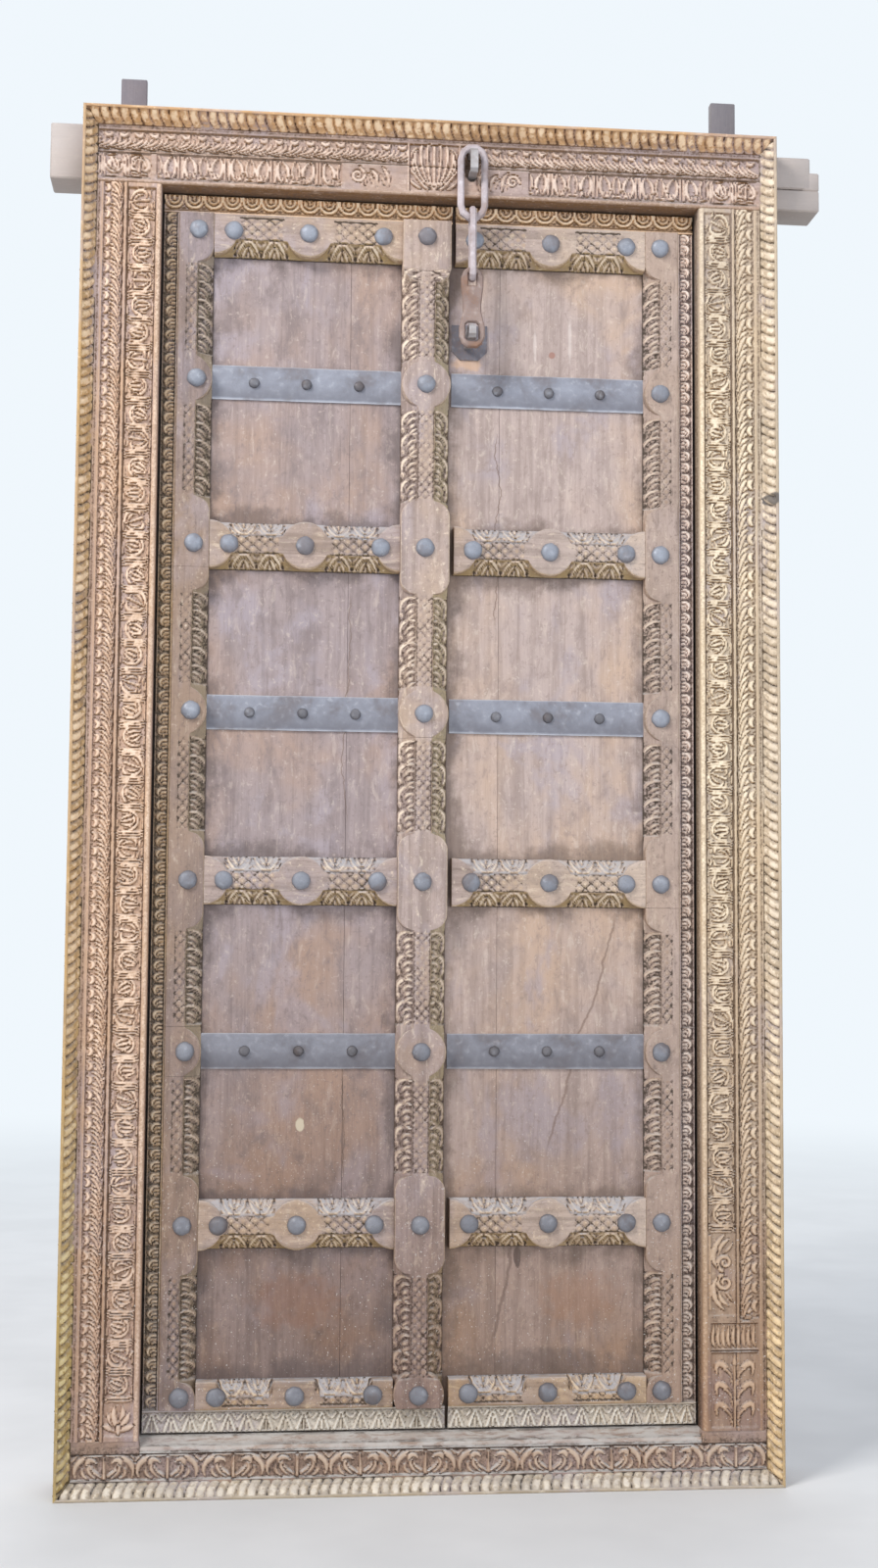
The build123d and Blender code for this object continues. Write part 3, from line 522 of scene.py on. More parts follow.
def panel_edge_dirt_and_shade_mark(middle, half, tint, share=0.62):
    """Dirt and painted shade where the planks meet the stile, the bar and the rails, in metres."""

    def make(n):
        ragged = n.remap(n.noise(9.0, 6.0, 0.7), 0.25, 0.75, -0.028, 0.028)
        across = n.math("ABSOLUTE", n.math("SUBTRACT", n.position("X"), middle))
        side = n.remap(n.math("ADD", across, ragged), half - 0.022, half + 0.012)
        away = None
        for level in RAIL_LEVELS:
            here = n.math("ABSOLUTE", n.math("SUBTRACT", n.position("Z"), level / 1000))
            away = here if away is None else n.math("MINIMUM", away, here)
        rail = n.remap(n.math("SUBTRACT", away, ragged), 0.062, 0.030)
        return n.times(n.times(n.math("MAXIMUM", side, rail), share), n.front()), tint

    return make


def crack_mark(x_low, z_low, x_high, z_high, wide, tint, share=0.6):
    """A wandering crack between two heights, in metres."""

    def make(n):
        z = n.position("Z")
        rise = n.times(n.math("SUBTRACT", z, z_low), (x_high - x_low) / (z_high - z_low))
        wander = n.remap(n.noise((3.0, 3.0, 11.0), 5.0, 0.6), 0.2, 0.8, -0.009, 0.009)
        away = n.math("SUBTRACT", n.position("X"), n.math("ADD", rise, x_low))
        away = n.math("ABSOLUTE", n.math("SUBTRACT", away, wander))
        inside = n.times(n.remap(z, z_low, z_low + 0.03), n.remap(z, z_high, z_high - 0.03))
        return n.times(n.remap(away, wide, wide * 0.2, 0.0, share), inside), tint

    return make


def iron(name, base, dark, rust, pale, rust_share, metallic=0.3, dust=None, edged=False):
    """Hand-forged iron: hammer marks, dark scale, worn pale spots and rust, and where edged, painted shade
    and painted highlights.
    """
    n = Nodes(name)
    hammer = n.noise(95.0, 3.0, 0.5)
    speck = n.noise(620.0, 4.0, 0.6)
    cloud = n.noise(16.0, 4.0, 0.6, 0.3)
    colour = n.mix(n.remap(cloud, 0.24, 0.70), dark, base)
    colour = n.layer(colour, pale, hammer, 0.54, 0.78, 0.35)
    colour = n.mix(n.times(n.remap(speck, 0.5, 0.7), rust_share), colour, rust)
    colour = n.mix(n.times(n.remap(cloud, 0.5, 0.35), rust_share), colour, rust)
    if dust:
        colour = n.layer(colour, dust, n.facing("Z"), 0.2, 0.8, 0.8)
    # Painted shade at the low tones, where a head or strap meets the wood, and painted highlights with wear
    # at the high tones
    if edged:
        edge = n.painted_shade_highlight_and_wear()
        colour = n.layer(colour, dark, edge, 0.0, -1.0, 0.75)
        worn = n.times(n.remap(edge, 0.1, 1.0), n.remap(cloud, 0.3, 0.6, 0.35, 1.0))
        colour = n.mix(worn, colour, pale)
    near_floor = n.remap(n.position("Z"), 1.5, 0.3)
    colour = n.mix(near_floor, colour, n.mix(1.0, colour, (0.72, 0.68, 0.65), "MULTIPLY"))
    relief = n.bump(hammer, 0.4, 0.0012)
    relief = n.bump(speck, 0.3, 0.0004, relief)
    return n.finish(colour, n.remap(hammer, 0.3, 0.7, 0.74, 0.5), relief, metallic)


GREY_TOP = above_mark(2.084, 2.09, (0.14, 0.135, 0.165))
FRAME_WOOD = {
    "left": timber(
        "frame_wood_left", (0.53, 0.37, 0.30), (0.60, 0.38, 0.23), (0.90, 0.68, 0.52), (0.14, 0.075, 0.04),
        under=GOLD_SHADE, low=(0.40, 0.27, 0.22), low_from=0.8, haze_share=0.5, marks=(GREY_TOP,),
    ),
    "right": timber(
        "frame_wood_right", (0.60, 0.49, 0.37), (0.66, 0.49, 0.31), (0.94, 0.80, 0.60), (0.15, 0.095, 0.055),
        under=GOLD_SHADE, low=(0.33, 0.205, 0.135), low_from=1.1, haze_share=0.5,
        marks=(above_mark(1.55, 2.0, (0.36, 0.29, 0.26), 0.3), GREY_TOP),
    ),
}
HEAD_WOOD = timber(
    "head_wood", (0.44, 0.33, 0.30), (0.50, 0.33, 0.23), (0.76, 0.60, 0.50), (0.15, 0.095, 0.065),
    along=0, under=GOLD_SHADE, haze_share=0.5, marks=(beyond_mark(0.540, 0.543, (0.50, 0.45, 0.42)),),
)
BORDER_WOOD = {
    "left": timber(
        "border_wood_left", (0.48, 0.345, 0.26), (0.56, 0.37, 0.19), (0.80, 0.62, 0.43), (0.07, 0.05, 0.03),
        low=(0.41, 0.30, 0.235), low_from=1.3,
    ),
    "right": timber(
        "border_wood_right", (0.78, 0.63, 0.57), (0.82, 0.61, 0.47), (0.95, 0.82, 0.73), (0.15, 0.10, 0.08),
        low=(0.54, 0.43, 0.38), low_from=1.7,
    ),
    # The top border is made paler: painted light against the shadow of the head
    "top": timber(
        "border_wood_top_painted_light", (0.80, 0.56, 0.38), (0.86, 0.55, 0.29), (0.98, 0.76, 0.54), (0.16, 0.09, 0.045),
        along=0, under=GOLD_SHADE,
    ),
    "bottom": timber(
        "border_wood_bottom", (0.62, 0.56, 0.48), (0.66, 0.55, 0.42), (0.74, 0.69, 0.61), (0.20, 0.15, 0.10),
        along=0, dust_share=0.8,
    ),
}
TRIM_WOOD = timber(
    "trim_wood", (0.285, 0.21, 0.185), (0.36, 0.245, 0.17), (0.66, 0.54, 0.43), (0.05, 0.032, 0.02),
    dust_share=0.6, side_tint=(0.36, 0.29, 0.18), low=(0.23, 0.155, 0.125), right_tint=(0.53, 0.40, 0.33),
    haze_share=0.4,
)
RAIL_WOOD = timber(
    "rail_wood", (0.43, 0.33, 0.295), (0.49, 0.345, 0.235), (0.80, 0.66, 0.50), (0.06, 0.038, 0.022),
    (0.44, 0.43, 0.45), dust_share=0.85, along=0, under=(0.36, 0.245, 0.105), low=(0.36, 0.245, 0.17),
    low_from=0.6, right_tint=(0.62, 0.50, 0.42), haze_share=0.4,
)
BAR_WOOD = timber(
    "bar_wood", (0.47, 0.365, 0.33), (0.50, 0.36, 0.26), (0.90, 0.76, 0.61), (0.09, 0.055, 0.038),
    dust_share=0.6, side_tint=(0.52, 0.43, 0.22), low=(0.235, 0.15, 0.12), haze_share=0.4,
)
SCRATCH = (0.80, 0.72, 0.67)
PLANK_WOOD = {
    "left": timber(
        "plank_wood_left", (0.37, 0.295, 0.29), (0.44, 0.29, 0.21), (0.60, 0.49, 0.43), (0.075, 0.05, 0.045),
        carved=False, stain=0.7, low=(0.19, 0.12, 0.09), streak=0.34,
        marks=(
            crack_mark(-0.128, 0.99, -0.124, 1.36, 0.0014, (0.16, 0.10, 0.07)),
            crack_mark(-0.126, 0.44, -0.125, 0.62, 0.0012, (0.10, 0.06, 0.04)),
            spot_mark(-0.19, 0.535, 0.007, 0.012, (0.60, 0.52, 0.38)),
            spot_mark(-0.19, 0.27, 0.085, 0.055, (0.22, 0.105, 0.06), 0.5, 0.95),
            # Dirt and painted shade along the trim
            panel_edge_dirt_and_shade_mark(-0.1935, 0.147, (0.09, 0.065, 0.06)),
        ),
    ),
    "right": timber(
        "plank_wood_right", (0.49, 0.385, 0.35), (0.58, 0.405, 0.29), (0.68, 0.57, 0.49),
        (0.10, 0.06, 0.045), carved=False, stain=0.6, low=(0.27, 0.175, 0.13), streak=0.34,
        marks=(
            crack_mark(0.19, 0.49, 0.30, 0.86, 0.0030, (0.17, 0.105, 0.075)),
            crack_mark(0.108, 1.30, 0.110, 1.62, 0.0014, (0.14, 0.08, 0.05)),
            crack_mark(0.105, 0.19, 0.14, 0.37, 0.004, (0.13, 0.08, 0.06)),
            spot_mark(0.145, 0.335, 0.006, 0.02, (0.08, 0.05, 0.04)),
            spot_mark(0.24, 0.27, 0.075, 0.055, (0.30, 0.155, 0.09), 0.45, 0.95),
            spot_mark(0.19, 0.175, 0.13, 0.025, (0.07, 0.055, 0.055), 0.45, 0.95),
            spot_mark(0.195, 1.744, 0.0055, 0.006, (0.34, 0.17, 0.13)),
            spot_mark(0.168, 1.757, 0.0030, 0.034, SCRATCH, 0.36, 0.9),
            spot_mark(0.224, 1.765, 0.0034, 0.046, SCRATCH, 0.36, 0.9),
            spot_mark(0.060, 1.724, 0.030, 0.014, (0.66, 0.42, 0.26), 0.6, 0.9),
            # Dirt and painted shade along the trim
            panel_edge_dirt_and_shade_mark(0.1895, 0.151, (0.12, 0.08, 0.06)),
        ),
    ),
}
SILL_WOOD = timber(
    "sill_wood", (0.33, 0.22, 0.165), (0.38, 0.235, 0.15), (0.58, 0.44, 0.33), (0.065, 0.04, 0.027),
    (0.54, 0.51, 0.48), dust_share=0.9, along=0, haze_share=0.3,
)
ROPE_WOOD = {
    "top": timber(
        "rope_wood_top", (0.54, 0.34, 0.20), (0.68, 0.39, 0.17), (1.0, 0.76, 0.51), (0.13, 0.06, 0.025),
        along=0, dust_share=0.4,
    ),
    "left": timber(
        "rope_wood_left", (0.52, 0.35, 0.21), (0.60, 0.37, 0.15), (0.92, 0.70, 0.47), (0.08, 0.045, 0.018),
        dust_share=0.4, low=(0.42, 0.31, 0.14), low_from=0.9,
    ),
    "right": timber(
        "rope_wood_right", (0.54, 0.44, 0.33), (0.60, 0.46, 0.31), (0.92, 0.78, 0.61), (0.12, 0.08, 0.045),
        dust_share=0.4, low=(0.62, 0.38, 0.20), low_from=0.9,
        marks=(spot_mark(0.533, 1.506, 0.013, 0.012, (0.05, 0.05, 0.06)),),
    ),
    "bottom": timber(
        "rope_wood_bottom", (0.44, 0.365, 0.275), (0.50, 0.385, 0.25), (0.86, 0.76, 0.62),
        (0.055, 0.04, 0.03), along=0, dust_share=0.5,
    ),
}
STRAP_IRON = iron(
    "strap_iron", (0.325, 0.34, 0.40), (0.17, 0.17, 0.20), (0.22, 0.15, 0.115), (0.58, 0.60, 0.66),
    0.2, 0.15, (0.55, 0.56, 0.60), edged=True,
)
STUD_IRON = iron(
    "stud_iron", (0.34, 0.365, 0.425), (0.19, 0.20, 0.235), (0.22, 0.15, 0.12), (0.62, 0.66, 0.74),
    0.3, edged=True,
)
NAIL_IRON = iron(
    "nail_iron", (0.21, 0.21, 0.235), (0.08, 0.078, 0.088), (0.18, 0.11, 0.08), (0.46, 0.48, 0.54),
    0.25, edged=True,
)
PLATE_IRON = iron(
    "plate_iron", (0.185, 0.18, 0.21), (0.085, 0.08, 0.095), (0.30, 0.15, 0.08), (0.42, 0.42, 0.47), 0.5,
)
CHAIN_IRON = iron(
    "chain_iron", (0.60, 0.53, 0.55), (0.30, 0.25, 0.26), (0.40, 0.25, 0.18), (0.88, 0.84, 0.88), 0.35, 0.2,
)
HASP_IRON = iron(
    "hasp_iron", (0.36, 0.27, 0.24), (0.17, 0.12, 0.11), (0.34, 0.17, 0.09), (0.60, 0.52, 0.48), 0.5,
)
STAPLE_IRON = iron(
    "staple_iron", (0.54, 0.52, 0.53), (0.26, 0.24, 0.235), (0.35, 0.18, 0.1), (0.72, 0.74, 0.78), 0.3, 0.45,
)


# Drawing places and rows of motifs


def unit_place(low, high, v0, pitch, flip=False, turned=False):
    """Turns shares of a band's width and of its pitch into places on the strip."""

    def place(points):
        points = np.atleast_2d(np.asarray(points, float))
        share = 1 - points[:, 0] if flip else points[:, 0]
        along = -points[:, 1] if turned else points[:, 1]
        return np.stack([low + share * (high - low), v0 + along * pitch], axis=1)

    return place


def turned_place(centre, size, angle):
    """Turns points of a small drawing, about one unit across, into places on the strip."""
    turn = math.radians(angle)

    def place(points):
        points = np.atleast_2d(np.asarray(points, float)) * size
        across = points[:, 0] * math.cos(turn) - points[:, 1] * math.sin(turn)
        along = points[:, 0] * math.sin(turn) + points[:, 1] * math.cos(turn)
        return np.stack([centre[0] + across, centre[1] + along], axis=1)

    return place


def mirrored(place, side):
    """The same places, with the drawing turned over where side is -1."""
    return lambda points: place(np.asarray(points, float) * (1, side))


def row(start, end, pitch, seed, jitter, first=0):
    """Copies that fill a run: each one's number and middle, the fitted pitch and the random source.
    seed is a number, or a source that goes on."""
    count = max(1, round((end - start) / pitch))
    pitch = (end - start) / count
    source = np.random.default_rng(seed)
    for n in range(first, count):
        yield n, start + (n + 0.5) * pitch + source.uniform(-jitter, jitter), pitch, source


# Half widths along a stroke
FULL = np.array((1.0, 1.9, 2.7, 3.2, 3.4, 3.2, 2.7, 1.9, 1.0))
THIN = np.array((0.9, 1.5, 2.0, 2.3, 2.4, 2.3, 2.0, 1.5, 0.9))
BLADE = np.array((1.0, 1.7, 2.3, 2.7, 2.8, 2.6, 2.2, 1.6, 1.0))
BERRY = np.array((1.4, 2.4, 3.2, 3.6, 3.5, 3.0, 2.2, 1.2))
OGEE = (1.1, 1.8, 2.6, 3.2, 3.5, 3.4, 2.9, 2.1, 1.2)
THIN_OGEE = (1.0, 1.5, 2.0, 2.3, 2.4, 2.2, 1.8, 1.4, 1.0)
SCROLL = (1.3, 1.8, 2.3, 2.7, 2.9, 2.9, 2.6, 2.2, 1.8, 1.3)


# Jambs, head and sill

# Both edges of each carved band, measured from the beam's outer edge
JAMB_LEAVES = (32.5, 61.0)
JAMB_FLOWERS = (69.0, 111.0)
FOOT_PANEL = (34.0, 107.0)
HEAD_LEAVES = (30.0, 60.0)
HEAD_FLOWERS = (66.0, 103.0)
SILL_LEAVES = (24.0, 60.0)


def feather_band(field, low, high, start, end, pitch, seed, turned=False, bold=1.0):
    """A running row of leaves: a small berry at one side and thin blades that sweep past it."""
    field.sink(low, high, start, end, 3.4)
    for n, v0, fitted, source in row(start, end, pitch, seed, 0.7, first=-1):
        lean = source.uniform(-0.08, 0.08)
        swell = bold * source.uniform(0.85, 1.15)
        place = unit_place(low, high, v0, fitted, turned=turned)
        for k in range(3):
            blade = place(curve(
                (0.30 + 0.04 * k, 0.92 - 0.30 * k),
                (0.86 - 0.10 * k, 0.86 - 0.26 * k + lean),
                (0.98 - 0.05 * k, -0.20 - 0.26 * k),
            ))
            blade[:, 1] = np.clip(blade[:, 1], start + 1, end - 1)
            field.strand(blade, swell * BLADE, 3.8, 0.4 - 0.2 * k, 0.9, 1.0 - 0.15 * k)
        if n < 0:
            continue
        berry = ((0.10, 0.34), (0.34, 0.30 + lean), (0.30, -0.06), (0.12, -0.16))
        field.strokes(place, 4.0, (berry, bold * BERRY, 0.7, 0.9, 0.9))
        field.pits(place, ((0.13, 0.10), 1.3, 3.6), ((0.07, -0.42), 2.4, 4.4))
    field.lines((low, high), start, end, 1.3, 2.2)


def open_flower(field, place, swell):
    """Petals that meet at a point inside two nested arcs."""
    for reach, tone, width in ((0.50, 1.0, FULL), (0.34, 0.85, THIN)):
        arch = ((0.36, reach * 0.9), (-reach * 0.9, reach * 1.1), (-reach, -reach * 0.9), (0.30, -reach))
        field.strokes(place, 3.8, (arch, width * swell, 0.3, 0.8, tone))
    for side in (-1, 0, 1):
        petal = ((-0.12, 0.16), (0.14, 0.30), (0.50, 0.06))
        field.strokes(mirrored(place, side), 3.8, (petal, THIN * swell, 0.4, 0.8))


def curl_cluster(field, place, swell):
    """Two leaves that curl away from each other, with a bud between them."""
    for side in SIDES:
        field.strokes(
            mirrored(place, side), 3.8,
            (((-0.46, 0.05), (-0.30, 0.62), (0.40, 0.60), (0.30, 0.14)), FULL * swell, 0.4, 0.8),
            (((-0.30, 0.08), (-0.10, 0.34), (0.14, 0.26)), THIN * swell * 0.9, 0.1, 0.7, 0.85),
            (((0.52, 0.46), (0.40, 0.30), (0.50, 0.12)), THIN * swell * 0.8, 0.0, 0.7, 0.8),
        )
    field.strokes(place, 3.8, (((-0.44, 0.0), (0.36, 0.0)), (1.2, 2.4), 0.5, 0.8))


def rosette_band(field, low, high, start, end, pitch, seed):
    """Open flowers and curled leaves in turn, between sheaves of wavy cross strokes."""
    wide = high - low
    field.sink(low, high, start, end, 3.6)
    for n, v0, fitted, source in row(start, end, pitch, seed, 1.2):
        handed = 1 if n % 2 else -1
        swell = source.uniform(0.9, 1.1)
        for edge in SIDES:
            corner = (
                (low + wide * (0.5 + 0.5 * edge), v0 - 0.44 * fitted),
                (low + wide * (0.5 + 0.42 * edge), v0 - 0.2 * fitted),
                (low + wide * (0.5 + 0.48 * edge), v0 + 0.1 * fitted),
            )
            field.strand(curve(*corner), THIN * 0.8, 3.8, -0.2, 0.7, 0.75)
        middle = (low + (0.5 - 0.04 * handed) * wide, v0 + 0.04 * fitted)
        place = turned_place(middle, 0.80 * wide, 90 - 90 * handed + source.uniform(-30, 30))
        motif = curl_cluster if n % 3 == 1 else open_flower
        motif(field, place, swell)
        place = unit_place(low, high, v0 - fitted / 2, fitted, handed < 0)
        for k in range(3):
            shift = (k - 1) * 0.105 + source.uniform(-0.01, 0.01)
            wave = ((0.03, shift + 0.06), (0.35, shift - 0.12), (0.65, shift + 0.12), (0.97, shift - 0.06))
            field.strokes(place, 3.8, (wave, THIN * 0.95, 0.0, 0.8, 0.9))
        field.pits(place, ((0.97, 0.22), 3.0, 4.6), ((0.04, -0.20), 2.2, 4.4))
    field.lines((low, high), start, end, 1.4, 2.4)


def foot_panels(field):
    """The plainer panels at the foot of the right jamb: a double scroll, a strip of strokes and a plant."""
    field.sink(*JAMB_FLOWERS, 250.0, 374.0, 2.4, 1.5, 0.05)
    middle = 314.0
    for side in SIDES:
        scroll = spiral((85.0, middle + side * 15.0), 13.0, 3.2, -70 * side, 1.3 * side, 28)
        field.strand(scroll, np.linspace(3.4, 2.2, 28), 3.6, 0.5)
        field.strokes(
            unit_place(0.0, 1.0, middle, side), 3.6,
            (((97, 8), (110, 22), (101, 44), (86, 56)), 1.4 * FULL, 0.5),
            (((94, 28), (94, 42), (78, 50)), 1.1 * FULL, 0.3, 0.9, 0.95),
            (((84, 30), (78, 36), (73, 44)), THIN, 0.2, 0.8, 0.9),
        )
        field.strand([(108.0, middle), (108.0, middle + side * 56.0)], 1.3, 3.4, 0.2, 0.8, 0.8)
    field.sink(*FOOT_PANEL, 200.0, 238.0, 3.0, 1.5, 0.0)
    for n in range(9):
        u = 38.0 + 7.8 * n
        field.strand(curve((u, 203.0), (u + 7.0, 212.0), (u + 1.5, 235.0)), FULL * 0.9, 3.6, 0.3, 0.9, 0.9)
    field.sink(*FOOT_PANEL, 84.0, 194.0, 2.6, 1.5, 0.05)
    stem = 70.5
    for side in SIDES:
        for n in range(3):
            field.strokes(
                unit_place(stem, stem + side, 94.0 + 30.0 * n, 1.0), 3.6,
                (((3, -8), (5, 24), (36, 38), (27, 8)), 1.5 * FULL, 0.5),
                (((4, 2), (10, 18), (19, 16)), THIN, 0.2, 0.8, 0.9),
            )
    field.strand([(stem, 86.0), (stem, 174.0)], (2.0, 1.3), 3.4, 0.4)
    field.strand([(stem, 178.0), (stem, 190.0)], (3.6, 1.6), 3.4, 0.6)
    for level in (242.0, 197.0, 248.0):
        field.groove([(edge, level) for edge in FOOT_PANEL], 1.3, 1.8)


def shell(field, u, v, reach):
    """A fan of leaves that rises from a small bud."""
    for angle in (-78, -46, -15, 15, 46, 78):
        across, along = math.sin(math.radians(angle)), math.cos(math.radians(angle))
        bend = 0.45 * reach * (1 if angle > 0 else -1)
        leaf = (
            (u, v),
            (u + 0.5 * bend + 5 * across, v + 0.6 * reach * along),
            (u + 0.62 * reach * across, v + reach * along),
        )
        field.strand(curve(*leaf), 1.4 * FULL, 3.8, 0.5)
    field.strand([(u, v - 4.0), (u, v + 5.0)], (2.4, 4.0), 3.8, 0.8)


RIM = 5  # points round a beam's front arris


def beam_outline(front, width, radius, back):
    """Across and y of a beam's carved front, its rounded arris and its plain back."""
    turn = np.radians(np.linspace(15, 90, RIM))
    across = np.concatenate([front, width - radius + radius * np.sin(turn), [u for u, _ in back]])
    depths = np.concatenate([0 * front, radius - radius * np.cos(turn), [depth for _, depth in back]])
    return across, depth_y(depths)


def jamb(name, side, seed):
    """A jamb with its carved front, rounded arris, reveal, rebate and tenon."""
    right = side > 0
    v = steps(OPENING_LOW, OPENING_HIGH, 2.0)
    front = np.concatenate([
        [0.0, 10.0, 20.0, 22.0, 25.0, 28.0, 30.5], np.arange(31.8, 62.5, 1.65), [64.0, 66.0],
        np.arange(67.8, 112.5, 1.65), [113.2, 114.0],
    ])
    field = Field(front, v)
    foot = 246.0 if right else OPENING_LOW
    pitch, bold = (29.0, 1.3) if right else (21.4, 1.0)
    feather_band(field, *JAMB_LEAVES, foot, OPENING_HIGH, pitch, seed, bold=bold)
    rosette_band(field, *JAMB_FLOWERS, foot + (134.0 if right else 58.0), OPENING_HIGH - 8, 42.0, seed + 1)
    if right:
        foot_panels(field)
    else:
        field.sink(*JAMB_FLOWERS, foot + 8.0, foot + 56.0, 3.0, 1.5, 0.0)
        shell(field, 90.0, foot + 15.0, 36.0)
    u = field.u
    field.height += bell(u, 65.0, 1.8) - 1.2 * bell(u, 24.5, 1.6)
    # Pale bead and fillets, painted shade in the grooves and creases beside them, and a painted highlight
    # along the front fillet
    field.shade += 0.35 * bell(u, 65.0, 2.0) + 0.5 * bell(u, 29.6, 1.4)
    field.shade -= 1.1 * bell(u, 62.4, 0.9) + 0.9 * bell(u, 67.9, 0.9)
    field.shade += -0.5 * bell(u, 24.5, 2.0) + 0.45 * smooth(112.0, 113.0, u)
    field.ripple((0.4, 37, seed), (0.25, 9, seed + 3))
    field.height[:, :2] = 0
    # The reveal darkens as it goes in, painted shade, to near black in the gap
    reveal = ((11.0, -0.15), (14.0, -0.42), (30.0, -0.55), (33.0, -1.6), (REBATE_DEPTH, -1.6))
    wide, rebate = FRAME_SIDE - OPENING_SIDE, FRAME_SIDE - REBATE_SIDE
    back = [(wide, depth) for depth, _ in reveal]
    back += [(rebate, REBATE_DEPTH), (rebate, FRAME_DEPTH), (0.0, FRAME_DEPTH)]
    across, y = beam_outline(front, wide, 6, back)
    face = len(front)
    rings = np.zeros((len(v), len(across), 3))
    rings[:, :, 0] = side * (FRAME_SIDE - across)
    rings[:, :, 1] = y
    rings[:, :, 2] = v[:, None]
    rings[:, :face, 1] -= np.minimum(field.height, 1.2)
    rings[:, face : face + RIM, 1] += np.abs(0.5 * noise(0, v, 60, seed + 5))[:, None]
    values = np.zeros(rings.shape[:2])
    values[:, :face] = np.clip(field.shade, -1, 1)
    # A pale rounded arris: painted highlight with wear
    values[:, face : face + RIM] = (0.6, 0.6, 0.45, 0.1, -0.2)
    values[:, face + RIM : face + RIM + len(reveal)] = [tone for _, tone in reveal]
    tenon_top = FRAME_HEIGHT + (75.0 if right else 66.0)
    low_x, high_x = sorted((side * 449.0, side * 489.0))
    tenon = block((low_x, depth_y(31), OPENING_HIGH), (high_x, depth_y(47), tenon_top), 1.5)
    piece = swept(name, rings, "frame", FRAME_WOOD[name.split("_")[0]], values, right, extra=tenon)
    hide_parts(name.replace("_timber", "_jamb"))


def ogee_band(field, low, high, start, end, pitch, seed):
    """Crossing leaf curves on each side of a double upright stroke, with small fans below."""
    field.sink(low, high, start, end, 3.8)
    for _, v0, fitted, source in row(start, end, pitch, seed, 1.0):
        for side in SIDES:
            place = unit_place(low, high, v0, fitted * side)
            lean = source.uniform(-0.02, 0.02)
            field.strokes(
                place, 3.8,
                (((0.03, 0.16), (0.50, 0.02), (0.97, 0.20 + lean)), OGEE, 0.3, 0.8),
                (((0.04, 0.20), (0.42, 0.42 + lean), (0.97, 0.30)), OGEE, 0.5, 0.8),
                (((0.04, 0.47), (0.45, 0.36), (0.80, 0.46)), THIN_OGEE, 0.1, 0.8, 0.9),
                (((0.03, 0.035), (0.97, 0.045)), 1.7, 0.2, 0.7),
            )
            for k in range(3):
                rib = ((0.97, 0.25 + 0.03 * k), (0.70, 0.20 + 0.07 * k))
                field.strokes(place, 3.8, (rib, (1.8, 1.0), 0.0, 0.6, 0.85))
            field.strokes(place, 3.8, (((0.97, 0.38), (0.88, 0.42), (0.90, 0.49)), THIN_OGEE, 0.0, 0.6, 0.8))
            field.pits(place, ((0.06, 0.10), 2.2, 4.6), ((0.90, 0.10), 2.2, 4.6))
    field.lines((low, high), start, end, 1.4, 2.4)


def floral_block(field):
    """The square of leaves in the middle of the head."""
    low, high, half = HEAD_LEAVES[0], HEAD_FLOWERS[1], 40.0
    field.sink(low, high, -half, half, 4.0)
    for side in SIDES:
        place = unit_place(low, high, 0.0, half * side)
        petals = ((0.95, 0.30, 2.6), (0.86, 0.12, 2.8), (0.60, 0.04, 2.8), (0.30, 0.02, 2.6))
        for reach, top, thick in petals:
            petal = ((0.97, 0.04), (0.72, reach * 0.85), (top + 0.12, reach), (top, reach * 0.82))
            field.strokes(place, 4.8, (petal, np.linspace(1.6, thick, 12), 0.4, 0.7))
        field.strokes(
            place, 4.8,
            (((0.97, 0.25), (0.86, 0.55), (0.66, 0.70), (0.56, 0.95)), 9 * (2.2,), 0.2, 0.6),
            (((0.95, 0.55), (0.90, 0.75), (0.80, 0.92)), 7 * (2.2,), 0.0, 0.6),
            (((0.08, 0.70), (0.16, 0.90), (0.30, 0.95)), 7 * (2.0,), 0.0, 0.6),
        )
        field.strand([(low, side * half), (high, side * half)], 1.6, 4.8, 0.2, 0.5)
    field.strand([(low + 3, 0), (high - 8, 0)], 1.8, 4.8, 0.6, 0.6)


